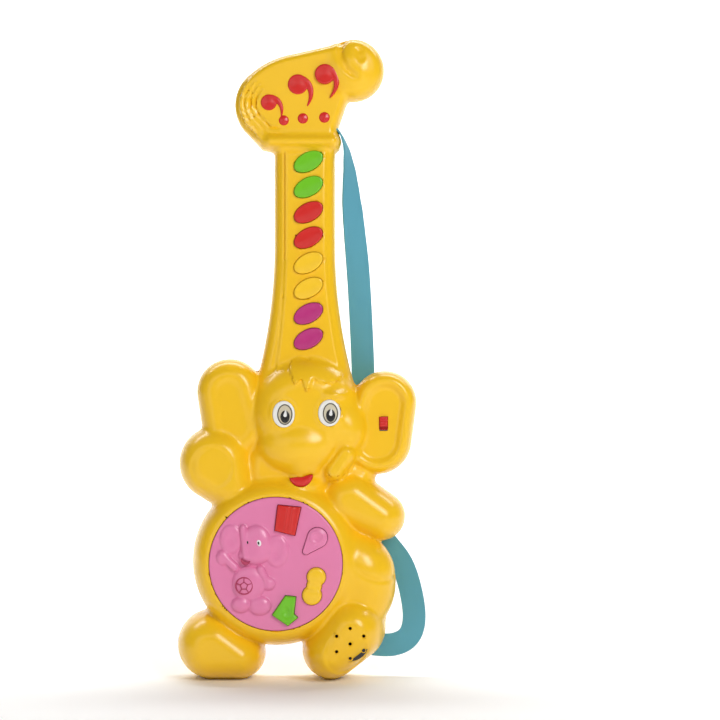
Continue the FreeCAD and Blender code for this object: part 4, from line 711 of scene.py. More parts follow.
def metal_group():
    """Plated metal: a fine grain, a few dull patches and a little grime."""
    group, given, end = look_group("Plated Metal", {
        "Base": (0.6, 0.6, 0.6, 1), "Grime": (0.2, 0.17, 0.12, 1)})
    where = node(group, "ShaderNodeTexCoord").outputs["Object"]
    patch = spread(group, noise(group, where, 300.0, 4.0), 0.45, 0.75, 0.0, 1.0)
    fine = noise(group, where, 2600.0, 2.0)
    toned = mix_colour(group, maths(group, "MULTIPLY", patch, 0.5), given["Base"], given["Grime"])
    dull = spread(group, patch, 0.0, 1.0, 0.22, 0.5)
    rough = maths(group, "ADD", dull, maths(group, "MULTIPLY", fine, 0.08))
    feed(group, end, {"Colour": toned, "Roughness": rough, "Height": fine})


def new_material(name):
    material = bpy.data.materials.new(name)
    material.use_nodes = True
    return material, material.node_tree, material.node_tree.nodes["Principled BSDF"]


def finish(name, group, values, bump, relief, shading):
    """A material from one of the groups; relief is the bump's height in metres."""
    material, tree, shader = new_material(name)
    look = feed(tree, node(tree, "ShaderNodeGroup", node_tree=bpy.data.node_groups[group]), values).outputs
    raised = feed(tree, node(tree, "ShaderNodeBump"),
                  {"Height": look["Height"], "Strength": bump, "Distance": relief})
    feed(tree, shader, {"Base Color": look["Colour"], "Roughness": look["Roughness"],
                        "Normal": raised.outputs["Normal"], **shading})
    return material


def plastic(name, base, deep, gloss, wear):
    """A glossy moulded plastic; colours are linear."""
    material = finish(name, "Moulded Plastic",
                      {"Base": (*base, 1), "Deep": (*deep, 1), "Gloss": gloss, "Wear": wear},
                      0.05, 0.0004, {"Coat Roughness": 0.05, "IOR": 1.4})
    material.diffuse_color = (*base, 1)


def metal(name, base, grime):
    finish(name, "Plated Metal", {"Base": (*base, 1), "Grime": (*grime, 1)}, 0.1, 0.0001, {"Metallic": 1.0})


def ribbon_cloth(name, light, dark, threads):
    finish(name, "Ribbon Weave", {"Light": (*light, 1), "Dark": (*dark, 1), "Threads": threads},
           0.35, 0.0003, {"Sheen Weight": 0.4, "Sheen Roughness": 0.4})


PLASTICS = {    # name: linear base colour, deeper tone, gloss, wear
    "yellow_shell": ((0.80, 0.35, 0.0005), (0.74, 0.285, 0.0005), 0.09, 0.08),
    "yellow_plastic": ((0.80, 0.37, 0.001), (0.74, 0.31, 0.001), 0.14, 0.1),
    "red_plastic": ((0.50, 0.004, 0.004), (0.42, 0.004, 0.004), 0.14, 0.1),
    "green_plastic": ((0.13, 0.48, 0.001), (0.10, 0.42, 0.001), 0.16, 0.1),
    "magenta_plastic": ((0.46, 0.024, 0.13), (0.36, 0.018, 0.10), 0.18, 0.25),
    "pink_plastic": ((0.64, 0.19, 0.34), (0.58, 0.155, 0.30), 0.2, 0.25),
    "deep_pink_plastic": ((0.50, 0.06, 0.14), (0.40, 0.04, 0.10), 0.3, 0.3),
    "eye_white": ((0.80, 0.66, 0.55), (0.66, 0.50, 0.40), 0.2, 0.2),
    "iris_cream": ((0.72, 0.66, 0.50), (0.50, 0.42, 0.30), 0.25, 0.2),
    "iris_line": ((0.10, 0.085, 0.06), (0.05, 0.045, 0.035), 0.3, 0.2),
    "pupil_black": ((0.008, 0.008, 0.008), (0.004, 0.004, 0.004), 0.12, 0.2),
    "glint_white": ((0.88, 0.88, 0.86), (0.78, 0.78, 0.76), 0.2, 0.1),
    "silicone": ((0.42, 0.42, 0.40), (0.34, 0.34, 0.33), 0.5, 0.5),
    "circuit_board": ((0.30, 0.16, 0.05), (0.22, 0.11, 0.03), 0.42, 0.6),
    "chip_resin": ((0.010, 0.010, 0.011), (0.02, 0.02, 0.02), 0.3, 0.6),
    "paper_cone": ((0.02, 0.02, 0.022), (0.035, 0.034, 0.032), 0.8, 0.4),
    "cell_jacket": ((0.03, 0.10, 0.20), (0.02, 0.06, 0.14), 0.25, 0.6),
    "wire_jacket": ((0.55, 0.02, 0.02), (0.35, 0.015, 0.015), 0.35, 0.3),
}
METALS = {      # name: linear base colour, grime
    "screw_steel": ((0.52, 0.50, 0.46), (0.20, 0.16, 0.11)),
    "bright_steel": ((0.66, 0.65, 0.63), (0.34, 0.32, 0.28)),
    "magnet": ((0.16, 0.16, 0.17), (0.08, 0.08, 0.08)),
}


def finish_of(name):
    """The material stored under a name: the frame's own, where the frame has one of that name."""
    return bpy.data.materials[name]


def sizes():
    return bpy.context.scene.toy_guitar


# ---------------------------------------------------------------- property groups
def length_property(name, description, default, low, high):
    return bpy.props.FloatProperty(name=name, description=description, default=default, min=low, max=high,
                                   subtype="DISTANCE", unit="LENGTH", precision=5)


def colour_property(name, description, default):
    return bpy.props.FloatVectorProperty(name=name, description=description, default=default, size=3,
                                         subtype="COLOR", min=0.0, max=1.0)


def power_property(name, description, default):
    return bpy.props.FloatProperty(name=name, description=description, default=default, min=0.0, max=500.0,
                                   unit="POWER")


class ToyGuitarSettings(bpy.types.PropertyGroup):
    shell_step: length_property("Shell Step", "Spacing of points on the two shells", 0.00115, 0.0006, 0.004)
    disc_step: length_property("Disc Step", "Spacing of points on the belly disc", 0.0007, 0.0004, 0.002)
    small_step: length_property("Button Step", "Spacing of points on the buttons", 0.0005, 0.0003, 0.002)
    key_proud: length_property("Key Height", "Height of a key over the neck", 0.0018, 0.0005, 0.003)
    strap_width: length_property("Strap Width", "Width of the ribbon", 0.014, 0.005, 0.03)
    strap_thick: length_property("Strap Thickness", "Thickness of the ribbon", 0.001, 0.0004, 0.002)
    # Strap Light is the colour of the raised threads; the second colour is the painted shade in the gaps
    # between threads, and also the tone the ribbon's edges lean to
    strap_light: colour_property("Strap Light", "Colour of the ribbon's raised threads", (0.10, 0.37, 0.50))
    strap_shade_and_edge_tone: colour_property("Strap Dark", "Colour between the ribbon's threads", (0.055, 0.24, 0.34))
    strap_threads: bpy.props.FloatProperty(name="Threads", description="Threads in a millimetre",
                                           default=1.6, min=0.5, max=5.0)


class ToyStageSettings(bpy.types.PropertyGroup):
    distance: length_property("Camera Distance", "From camera to guitar", 1.2, 0.5, 5.0)
    frame_height: length_property("Frame Height", "Height that the picture takes in", 0.432, 0.1, 2.0)
    aim_x: length_property("Aim X", "Place of the picture's middle, left to right", 0.0378, -1.0, 1.0)
    aim_z: length_property("Aim Z", "Height of the picture's middle", 0.1914, -1.0, 1.0)
    floor: colour_property("Floor", "Colour of the floor and backdrop", (0.97, 0.97, 0.965))
    key_power: power_property("Key Light", "Power of the large light at the right", 8.0)
    backdrop_power: power_property("Backdrop Light", "Power of the light on the backdrop", 42.0)
    fill_power: power_property("Fill Light", "Power of the soft light at the left", 3.0)


# ---------------------------------------------------------------- strap
# x, y, z of each point of the route, and the angle of the ribbon's width from +Y towards the front view
STRAP_ROUTE = [(15.0, 9.0, 336.0, 0.0), (24.0, 9.0, 331.5, 0.0), (29.5, 9.5, 322.0, 8.0),
               (31.4, 10.5, 306.0, 30.0), (33.2, 12.0, 281.0, 62.0), (36.6, 15.0, 248.0, 84.0),
               (38.6, 19.2, 212.0, 90.0), (40.0, 22.8, 177.0, 90.0), (38.8, 24.6, 150.0, 90.0),
               (37.2, 25.4, 124.0, 90.0), (39.2, 26.0, 106.0, 90.0), (45.5, 26.2, 89.5, 90.0),
               (55.5, 26.0, 77.5, 90.0), (64.0, 25.0, 67.0, 90.0), (69.3, 21.6, 50.0, 90.0),
               (71.4, 17.6, 33.5, 90.0), (68.2, 16.2, 23.0, 90.0), (59.8, 15.6, 18.4, 90.0),
               (49.4, 15.2, 18.2, 90.0), (39.2, 14.6, 19.9, 90.0)]


def strap_line():
    """Points along the strap's spline, in metres."""
    curve = bpy.data.curves.new("strap_route", "CURVE")
    curve.dimensions = "3D"
    curve.resolution_u = 24
    spline = curve.splines.new("NURBS")
    spline.points.add(len(STRAP_ROUTE) - 1)
    for point, (x, y, z, _) in zip(spline.points, STRAP_ROUTE):
        point.co = (x * MM, y * MM, z * MM, 1.0)
    spline.order_u = 3
    spline.use_endpoint_u = True
    holder = bpy.data.objects.new("strap_route", curve)
    bpy.context.scene.collection.objects.link(holder)
    mesh = bpy.data.meshes.new_from_object(holder.evaluated_get(bpy.context.evaluated_depsgraph_get()))
    line = [vertex.co.copy() for vertex in mesh.vertices]
    bpy.data.objects.remove(holder)
    bpy.data.curves.remove(curve)
    bpy.data.meshes.remove(mesh)
    return line


def strap_turns(line):
    """The way of the ribbon's width at each point: the route's angle, read by nearness along it."""
    route = np.array([p[:3] for p in STRAP_ROUTE]) * MM
    angle = np.array([p[3] for p in STRAP_ROUTE])
    run = np.concatenate([[0], np.cumsum(np.linalg.norm(np.diff(route, axis=0), axis=1))])
    points = np.array(line)
    here = np.concatenate([[0], np.cumsum(np.linalg.norm(np.diff(points, axis=0), axis=1))])
    degrees = np.interp(here * run[-1] / here[-1], run, angle)
    ways = []
    for n, point in enumerate(line):
        tangent = (line[min(n + 1, len(line) - 1)] - line[max(n - 1, 0)]).normalized()
        back = Vector((0, 1, 0))
        back = (back - tangent * back.dot(tangent)).normalized()
        across = tangent.cross(back)
        turn = math.radians(degrees[n])
        ways.append((tangent, (back * math.cos(turn) + across * math.sin(turn)).normalized()))
    return ways


def strap_section(half, thick):
    """Half outline of the ribbon's cross-section: flat faces and rounded woven edges."""
    steps = np.linspace(-1, 1, 15)
    top = [(s * (half - 0.25), thick / 2 + (0.10 if abs(s) > 0.85 else 0.0)) for s in steps]
    return top + [(half, 0.0)] + [(u, -v) for u, v in reversed(top)] + [(-half, 0.0)]


class TOY_OT_strap(bpy.types.Operator):
    """Make the woven ribbon that hangs from the headstock to the right foot"""
    bl_idname = "toy_guitar.strap"
    bl_label = "Strap"

    def execute(self, context):
        line = strap_line()
        ways = strap_turns(line)
        section = strap_section(sizes().strap_width / MM / 2, sizes().strap_thick / MM)
        points, faces, charts = [], [], []
        count, along = len(section), 0.0
        for n, (point, (tangent, wide)) in enumerate(zip(line, ways)):
            if n:
                along += (point - line[n - 1]).length / MM
            normal = tangent.cross(wide)
            ripple = 0.12 * math.sin(along * 0.21) + 0.08 * math.sin(along * 0.53 + 1.0)
            for u, v in section:
                curl = ripple * (u / 7.0) ** 2
                points.append(tuple((point + wide * (u * MM) + normal * ((v + curl) * MM)) / MM))
                charts.append((u, along))
        last = len(line) - 1
        for n in range(last):
            a, b = n * count, (n + 1) * count
            faces += [(a + k, a + (k + 1) % count, b + (k + 1) % count, b + k) for k in range(count)]
        faces += [tuple(range(count))[::-1], tuple(last * count + k for k in range(count))]
        strap = place_mesh("strap", points, faces, finish_of("strap_cloth"), 50.0)
        chart = strap.data.uv_layers.new(name="weave")
        for loop in strap.data.loops:
            chart.data[loop.index].uv = charts[loop.vertex_index]
        point_outwards(strap)
        stand_in(strap, CASE, "strap_cloth", "strap_ribbon")
        return {"FINISHED"}


# ---------------------------------------------------------------- stage
SHEET_HALF, SHEET_TOP = 4000.0, 3000.0          # the floor's half width and the backdrop's top
BEND_START, BEND_RADIUS = 700.0, 900.0          # where the floor starts to bend up, and how wide
SENSOR = 36.0                                   # the camera's sensor width
WORLD_STRENGTH = 0.14


def aimed(name, data, place, target):
    lamp = bpy.data.objects.new(name, data)
    bpy.context.scene.collection.objects.link(lamp)
    lamp.location = place
    lamp.rotation_euler = (Vector(target) - Vector(place)).to_track_quat("-Z", "Y").to_euler()
    return lamp


def soft_light(name, place, target, wide, tall, power):
    data = bpy.data.lights.new(name, "AREA")
    data.shape = "RECTANGLE"
    data.size, data.size_y, data.energy = wide, tall, power
    light = aimed(name, data, place, target)
    light.visible_camera = False
    return light


class TOY_OT_stage(bpy.types.Operator):
    """Make the camera, the soft studio lights and the pale floor with its curved backdrop"""
    bl_idname = "toy_guitar.stage"
    bl_label = "Stage"

    def execute(self, context):
        stage = context.scene.toy_stage
        lens = bpy.data.cameras.new("camera")
        lens.sensor_width = SENSOR
        lens.lens = SENSOR * stage.distance / stage.frame_height
        lens.clip_end = 50.0
        aim = (stage.aim_x, 0.0, stage.aim_z)
        camera = aimed("camera", lens, (stage.aim_x, -stage.distance, stage.aim_z), aim)
        context.scene.camera = camera
        sheet_points = []
        bend = [(y, 0.0) for y in (-3000.0, -500.0, BEND_START)]
        bend += [(BEND_START + BEND_RADIUS * math.sin(t), BEND_RADIUS - BEND_RADIUS * math.cos(t))
                 for t in np.linspace(0.1, 1.57, 14)]
        bend += [(BEND_START + BEND_RADIUS, SHEET_TOP)]
        for y, z in bend:
            sheet_points += [(-SHEET_HALF, y, z), (SHEET_HALF, y, z)]
        faces = [(2 * n, 2 * n + 1, 2 * n + 3, 2 * n + 2) for n in range(len(bend) - 1)]
        material, tree, shader = new_material("backdrop")
        tone = mix_colour(tree, noise(tree, node(tree, "ShaderNodeTexCoord").outputs["Object"], 2.0),
                          (*stage.floor, 1), tuple(0.98 * c for c in stage.floor) + (1,))
        feed(tree, shader, {"Base Color": tone, "Roughness": 0.9})
        sheet = place_mesh("backdrop", sheet_points, faces, material)
        middle = (0.0, 0.0, 0.19)
        soft_light("key_light", (0.62, -1.0, 0.72), middle, 0.42, 0.6, stage.key_power)
        soft_light("fill_light", (-0.9, -1.3, 0.5), middle, 1.0, 1.0, stage.fill_power)
        soft_light("front_light", (0.05, -1.9, 0.9), middle, 1.6, 0.8, stage.fill_power)
        soft_light("backdrop_light", (0.0, 0.7, 1.5), (0.0, 1.45, 0.2), 3.0, 0.5, stage.backdrop_power)
        world = bpy.data.worlds.new("studio")
        world.use_nodes = True
        feed(world.node_tree, world.node_tree.nodes["Background"],
             {"Color": (1.0, 1.0, 1.0, 1), "Strength": WORLD_STRENGTH})
        context.scene.world = world
        context.scene.view_settings.view_transform = "Standard"
        return {"FINISHED"}


# ---------------------------------------------------------------- finishes
class TOY_OT_finishes(bpy.types.Operator):
    """Make the shader node groups and every plastic, metal and cloth finish"""
    bl_idname = "toy_guitar.finishes"
    bl_label = "Finishes"

    def execute(self, context):
        moulded_group()
        metal_group()
        weave_group()
        for name, (base, deep, gloss, wear) in PLASTICS.items():
            plastic(name, base, deep, gloss, wear)
        for name, (base, grime) in METALS.items():
            metal(name, base, grime)
        strap = sizes()
        ribbon_cloth("strap_cloth", strap.strap_light, strap.strap_shade_and_edge_tone, strap.strap_threads)
        return {"FINISHED"}


# ---------------------------------------------------------------- shells
SHELL_SMOOTH = 55.0         # edges of the shells sharper than this stay sharp


class TOY_OT_shells(bpy.types.Operator):
    """Make the front shell with the elephant's face and limbs, and the back shell"""
    bl_idname = "toy_guitar.shells"
    bl_label = "Shells"

    def execute(self, context):
        step = sizes().shell_step / MM
        yellow = finish_of("yellow_shell")
        front = field_piece("front_shell_skin", front_parts(), (-72.5, -25.5, -0.5), (72.5, 9.0, 386.0),
                            step, yellow, SHELL_SMOOTH)
        back = field_piece("back_shell_skin", back_parts(), (-72.5, 9.0, -0.5), (72.5, 25.5, 386.0),
                           step, yellow, SHELL_SMOOTH)
        stand_in(front, CASE, "yellow_shell", "front_shell")
        stand_in(back, CASE, "yellow_shell", "back_shell")
        return {"FINISHED"}


# ---------------------------------------------------------------- keys, insert, face
def oval_rings(cx, cz, half_x, half_z, turn, profile, count=72):
    """Rings round an oval, one for each (grow, depth)."""
    c, s = math.cos(math.radians(turn)), math.sin(math.radians(turn))
    t = np.linspace(0, 2 * math.pi, count, endpoint=False)
    rings = []
    for grow, depth in profile:
        u, w = (half_x + grow) * np.cos(t), (half_z + grow) * np.sin(t)
        rings.append(np.stack([cx + u * c - w * s, np.full(count, PARTING - depth), cz + u * s + w * c], 1))
    return rings


class TOY_OT_keys(bpy.types.Operator):
    """Make the eight tilted oval keys of the neck"""
    bl_idname = "toy_guitar.keys"
    bl_label = "Neck Keys"

    def execute(self, context):
        top = 12.0 + sizes().key_proud / MM
        profile = [(1.2, 8.3), (1.2, 9.5), (0.0, 9.5)]
        profile += [(grow, top - below) for grow, below in (
            (0.0, 0.85), (-0.1, 0.45), (-0.32, 0.16), (-0.7, 0.0), (-1.1, 0.02), (-2.2, 0.16), (-3.6, 0.28),
            (-5.0, 0.34))]
        for n, (cz, colour) in enumerate(zip(key_centres(), KEY_COLOURS)):
            body = "neck_key_%d" % (n + 1)
            key = rings_piece(body + "_cap", oval_rings(KEY_X, cz, *KEY_HALF, KEY_TILT, profile),
                              finish_of(colour), 40.0)
            stand_in(key, body, colour, body)
        return {"FINISHED"}


def slab(flat, v, low, high, edge):
    """A plate between two depths whose front edge is rounded."""
    u, w = flat + edge, v - high + edge
    out = np.hypot(np.maximum(u, 0), np.maximum(w, 0)) + np.minimum(np.maximum(u, w), 0) - edge
    return np.maximum(out, low - v)


def crotchet(x, z, cx, cz, radius, turn):
    """A round head whose outer edge runs down into a tail that tapers to a point."""
    spine = []
    for t in np.linspace(0.0, 1.0, 13):
        angle = turn + 105.0 * (1 - t) ** 1.15
        reach = radius * (0.60 + 1.82 * t ** 1.3)
        spine.append((*turned(cx, cz, reach, angle), radius * 0.43 * (1 - t) ** 0.75 + 0.2))
    return np.minimum(circle(x, z, cx, cz, radius), chain(x, z, spine))


class TOY_OT_headstock(bpy.types.Operator):
    """Make the red crotchets and dots of the headstock"""
    bl_idname = "toy_guitar.headstock"
    bl_label = "Headstock Insert"

    def execute(self, context):
        def insert(x, y, z):
            v = PARTING - y
            best = np.full(np.shape(x + z), FAR)
            for cx, cz, radius, turn in CROTCHETS:
                flat = crotchet(x, z, cx, cz, radius, turn)
                high = 12.9 + 0.08 * max(cx, 0.0) + 0.6 * ramp(-flat, 0.0, radius)
                best = np.minimum(best, slab(flat, v, 8.6, high, 0.8))
            for cx, cz, radius in DOTS:
                flat = circle(x, z, cx, cz, radius)
                best = np.minimum(best, slab(flat, v, 8.6, 12.6 + 0.6 * ramp(-flat, 0.0, radius), 0.9))
            circles, dots = [c[:3] for c in CROTCHETS], list(DOTS)
            pairs = list(zip(circles, circles[1:])) + list(zip(dots, dots[1:])) + [(circles[0], dots[0]),
                                                                                   (circles[2], dots[2])]
            plate = np.min([band(x, z, a, b) for a, b in pairs], axis=0)
            return np.minimum(best, np.maximum(plate, np.maximum(v - 9.8, 8.6 - v)))
        piece = field_piece("headstock_notes", [insert], (-24, -5.2, 329), (26, 1.0, 371), 0.5,
                            finish_of("red_plastic"), 45.0)
        stand_in(piece, CASE, "red_plastic", "headstock_insert")
        return {"FINISHED"}


class TOY_OT_face(bpy.types.Operator):
    """Make the layered eyes and the half-moon mouth"""
    bl_idname = "toy_guitar.face"
    bl_label = "Face"

    def execute(self, context):
        white = [(0.9, 20.6), (0.9, 21.8), (0.0, 21.8), (0.0, 24.4), (-0.15, 24.75), (-0.5, 24.98),
                 (-1.2, 25.06), (-3.0, 25.1)]
        for side, (cx, cz) in EYES.items():
            eye = rings_piece(side + "_eye_white", oval_rings(cx, cz, *EYE_HALF, 0, white),
                              finish_of("eye_white"))
            stand_in(eye, CASE, "eye_white", side + "_eye")
            ix, iz = cx + 0.7, cz - 0.2
            line = [(0.42, 24.9), (0.42, 25.16), (0.2, 25.34), (-0.1, 25.34), (-0.25, 25.2), (-0.25, 24.9)]
            ring = rings_piece(side + "_iris_line", oval_rings(ix, iz, 4.1, 5.7, 0, line),
                               finish_of("iris_line"), closed=True)
            cream = [(0, 24.8), (0, 25.14), (-0.6, 25.2), (-2.5, 25.24)]
            iris = rings_piece(side + "_iris", oval_rings(ix, iz, 3.9, 5.5, 0, cream),
                               finish_of("iris_cream"))
            black = [(0, 24.8), (0, 25.3), (-0.2, 25.5), (-0.6, 25.62), (-1.6, 25.7)]
            pupil = rings_piece(side + "_pupil", oval_rings(ix + 0.15, iz - 1.3, 2.75, 3.7, 0, black),
                                finish_of("pupil_black"))
            glint = field_piece(side + "_eye_glint",
                                [lambda x, y, z, gx=ix, gz=iz: slab(band(x, z, (gx + 0.2, gz - 0.4, 1.05),
                                                                         (gx + 0.5, gz + 2.6, 0.25)),
                                                                    PARTING - y, 25.0, 25.86, 0.2)],
                                (ix - 2, -17.2, iz - 2.5), (ix + 2.2, -15.8, iz + 4), 0.22,
                                finish_of("glint_white"))
            for part, slot in ((ring, "pupil_black"), (iris, "eye_white"), (pupil, "pupil_black"),
                               (glint, "eye_white")):
                stand_in(part, CASE, slot)
            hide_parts("eye_pupils")

        def mouth(x, y, z):
            flat = mouth_flat(x, z)
            v = PARTING - y
            return slab(flat, v, 15.0, 21.6 + 0.9 * ramp(-flat, 0.0, 3.0), 0.7)
        lips = field_piece("mouth", [mouth], (-7, -14.6, 113), (12, -5.5, 125), 0.4,
                           finish_of("red_plastic"), 45.0)
        stand_in(lips, CASE, "red_plastic", "mouth_insert")
        return {"FINISHED"}


# ---------------------------------------------------------------- belly
BLOCK = [(1.2, 35.0), (15.0, 33.6), (11.4, 16.8), (-0.6, 19.8)]
WEDGE = [(5.7, -18.6), (12.0, -19.2), (10.8, -29.4), (13.2, -31.6), (7.2, -36.4), (-2.1, -30.0)]


def button_flats():
    """Flat distance of each button's outline from the disc's middle."""
    return {
        "block_button": lambda x, z: polygon(x, z, BLOCK),
        "curl_button": lambda x, z: band(x, z, (24.6, 15.6, 6.0), (17.9, 7.6, 2.0)),
        "peanut_button": lambda x, z: np.minimum(np.minimum(circle(x, z, 24.0, -7.6, 5.6),
                                                            circle(x, z, 21.4, -18.4, 5.8)),
                                                 circle(x, z, 22.7, -13.0, 4.5)),
        "wedge_button": lambda x, z: polygon(x, z, WEDGE),
    }


def calf(x, v, z):
    """A seated calf in low relief, its trunk raised; x and z are from the disc's middle."""
    top = DISC_TOP
    ears = blend_in(bulge(x, v, z, (-26.5, top, 14.6), (6.6, 2.1, 8.8)),
                    bulge(x, v, z, (0.8, top, 7.6), (7.0, 2.1, 9.8)), 0.2)
    ears = ears + 1.3 * np.exp(-(((x + 26.0) / 3.2) ** 2 + ((z - 14.6) / 5.0) ** 2))
    ears = ears + 1.3 * np.exp(-(((x - 0.4) / 3.6) ** 2 + ((z - 7.6) / 5.6) ** 2))
    body = bulge(x, v, z, (-16.0, top, -11.5), (9.8, 3.2, 10.6))
    arms = blend_in(limb(x, v, z, (-31.6, top + 0.3, 5.6, 2.3), (-24.0, top + 0.3, -2.0, 2.6)),
                    limb(x, v, z, (-9.0, top + 0.6, -3.0, 2.5), (-3.6, top + 0.2, -13.0, 2.1)), 0.4)
    hands = blend_in(bulge(x, v, z, (-31.0, top, 4.0), (4.2, 2.2, 4.8)),
                     bulge(x, v, z, (-4.4, top, -11.6), (4.4, 2.1, 4.0)), 0.4)
    legs = blend_in(bulge(x, v, z, (-20.6, top, -24.0), (5.6, 3.0, 4.8)),
                    bulge(x, v, z, (-9.4, top, -24.6), (6.8, 2.9, 5.8)), 0.2)
    head = bulge(x, v, z, (-11.6, top, 11.4), (9.4, 3.5, 11.6))
    cheek = bulge(x, v, z, (-12.6, top, 5.4), (9.6, 3.3, 5.4))
    trunk = limb(x, v, z, (-17.4, top + 1.4, 4.8, 2.4), (-19.3, top + 1.0, 21.6, 2.0))
    face = blend_in(blend_in(head, cheek, 1.5), trunk, 0.6)
    whole = blend_in(blend_in(ears, body, 0.3), blend_in(arms, hands, 1.0), 0.4)
    return blend_in(blend_in(whole, legs, 0.3), face, 0.3)


class TOY_OT_belly(bpy.types.Operator):
    """Make the round belly panel with its calf in relief, and the four shape buttons"""
    bl_idname = "toy_guitar.belly"
    bl_label = "Belly"

    def execute(self, context):
        flats = button_flats()
        quick = 1.0

        def panel(x, y, z):
            v = PARTING - y
            plate = slab(circle(x, z, *DISC), v, DISC_TOP - DISC_THICK, DISC_TOP, 0.8)
            return blend_in(plate, calf(x - DISC[0], v, z - DISC[1]), 0.5)

        def low_side(x, y, z):
            return DISC_TOP - DISC_THICK - PARTING + y + 0 * (x + z)

        def holes(x, y, z):
            dx, dz = x - DISC[0], z - DISC[1]
            return GAP - np.min([flat(dx, dz) for flat in flats.values()], axis=0) + 0 * y
        panel_piece = field_piece("belly_panel", [panel, low_side, holes], (-52, -23.4, 31),
                                  (28, -14.4, 111), sizes().disc_step / MM * quick,
                                  finish_of("pink_plastic"), 42.0)
        stand_in(panel_piece, CASE, "pink_plastic", "belly_disc")
        looks = {"block_button": ("red_plastic", 1.0), "curl_button": ("pink_plastic", 0.7),
                 "peanut_button": ("yellow_plastic", 1.8), "wedge_button": ("green_plastic", 1.1)}
        for name, (colour, edge) in looks.items():
            def cap(x, y, z, flat=flats[name], edge=edge, name=name):
                v, dx, dz = PARTING - y, x - DISC[0], z - DISC[1]
                top = DISC_TOP + 2.6
                f = flat(dx, dz)
                if name == "wedge_button":
                    top = top - 1.0 * np.exp(-(((dx - 6.6) / 2.0) ** 2 + ((dz + 28.0) / 2.6) ** 2))
                if name == "peanut_button":
                    top = top - 0.7 * np.exp(-(((dz + 13.2) / 2.4) ** 2)) - 0.3 * ramp(-f, 5.0, 1.0)
                if name == "block_button":
                    top = top - 0.35 + 0.3 * (groove(dx - 6.2 - 0.15 * (dz - 26), 0.8)
                                              + groove(dx - 9.4 - 0.15 * (dz - 26), 0.8))
                if name == "curl_button":
                    ridge = np.abs(circle(dx, dz, 24.6, 15.6, 3.6))
                    top = top - 1.0 + 0.7 * groove(ridge, 1.0) * ramp(dz - dx * 0.4, 1.0, 5.0)
                shape = slab(f, v, 22.3, top, edge)
                return np.minimum(shape, np.maximum(f - 1.2, np.maximum(v - 23.5, 22.3 - v)))
            low = {"block_button": (-15.5, 83), "curl_button": (1, 71), "peanut_button": (0, 43),
                   "wedge_button": (-17, 31)}[name]
            piece = field_piece(name + "_cap", [cap], (low[0], -21.5, low[1]),
                                (low[0] + 21.5, -12.8, low[1] + 27), sizes().small_step / MM * quick,
                                finish_of(colour), 45.0)
            stand_in(piece, name, colour, name)
        self.calf_face()
        self.emblem()
        return {"FINISHED"}

    def calf_face(self):
        """The calf's two eyes and its mouth."""
        dark, white = finish_of("pupil_black"), finish_of("glint_white")
        spots = [("calf_eye_white", (-9.7, 12.7), 1.25, 1.9, white, 0.0),
                 ("calf_eye_left", (-16.4, 12.9), 0.6, 1.05, dark, 0.0),
                 ("calf_eye_right", (-10.0, 12.7), 0.62, 1.1, dark, 0.12)]
        for name, (dx, dz), half_x, half_z, colour, lift in spots:
            x, z = DISC[0] + dx, DISC[1] + dz
            y = surface_y(calf_in_place, x, z)
            deep = PARTING - y + lift
            profile = [(0, deep - 0.8), (0, deep + 0.02), (-0.25, deep + 0.14), (-0.45, deep + 0.18)]
            piece = rings_piece(name, oval_rings(x, z, half_x, half_z, 12, profile, 32), colour)
            stand_in(piece, CASE, "pupil_black" if colour is dark else "eye_white")

        def smile(x, y, z):
            dx, dz = x - DISC[0], z - DISC[1]
            flat = cut_out(circle(dx, dz, -17.6, 2.6, 2.9), circle(dx, dz, -16.8, 5.6, 3.9), 0.2)
            return slab(flat, PARTING - y, 26.0, 30.4, 0.3)
        piece = field_piece("calf_mouth", [smile], (-36.5, -22.4, 66), (-25, -16.6, 76), 0.3,
                            finish_of("deep_pink_plastic"), 45.0)
        stand_in(piece, CASE, "pink_plastic")

    def emblem(self):
        """The ball on the calf's front: a ring, a five-sided middle and five seams round it."""
        cx, cz = DISC[0] - 18.6, DISC[1] - 12.6
        y = surface_y(calf_in_place, cx, cz)
        bar = bpy.data.meshes.new("seam_bar")
        half, high = 1.0, 0.28
        bar.from_pydata([(sx * 0.3 * MM, sy * high * MM, sz * half * MM) for sx in (-1, 1) for sy in (-1, 1)
                         for sz in (-1, 1)], [], [(0, 1, 3, 2), (4, 6, 7, 5), (0, 4, 5, 1), (2, 3, 7, 6),
                                                  (0, 2, 6, 4), (1, 5, 7, 3)])
        bar_piece = bpy.data.objects.new("seam_bar", bar)
        bpy.context.scene.collection.objects.link(bar_piece)
        point_outwards(bar_piece)
        places = []
        for n in range(5):
            t = math.radians(90 + 72 * n)
            places.append((cx + 3.55 * math.cos(t), y + 0.05, cz + 3.55 * math.sin(t),
                           math.pi / 2 - t, 1.0))
            t += math.radians(36)
            places.append((cx + 1.85 * math.cos(t), y - 0.1, cz + 1.85 * math.sin(t), -t, 1.45))
        seams = scatter("calf_ball_seams", bar_piece, places, finish_of("deep_pink_plastic"))
        stand_in(seams, CASE, "pink_plastic")
        t = np.linspace(0, 2 * math.pi, 12, endpoint=False)
        rings = []
        for a in np.linspace(0, 2 * math.pi, 64, endpoint=False):
            radius = 4.9 + 0.42 * np.cos(t)
            rings.append(np.stack([cx + radius * math.cos(a), y + 0.25 - 0.42 * np.sin(t),
                                   cz + radius * math.sin(a)], 1))
        ring = rings_piece("calf_ball_ring", rings, finish_of("deep_pink_plastic"), 60.0, closed=True)
        stand_in(ring, CASE, "pink_plastic")


def calf_in_place(x, y, z):
    return calf(x - DISC[0], PARTING - y, z - DISC[1])


def surface_y(field, x, z):
    """Where the field's surface lies at x, z, seen from the front."""
    reach = np.arange(-26.0, PARTING, 0.05)
    value = field(np.full(reach.shape, x), reach, np.full(reach.shape, z))
    return float(reach[np.argmax(value < 0)])


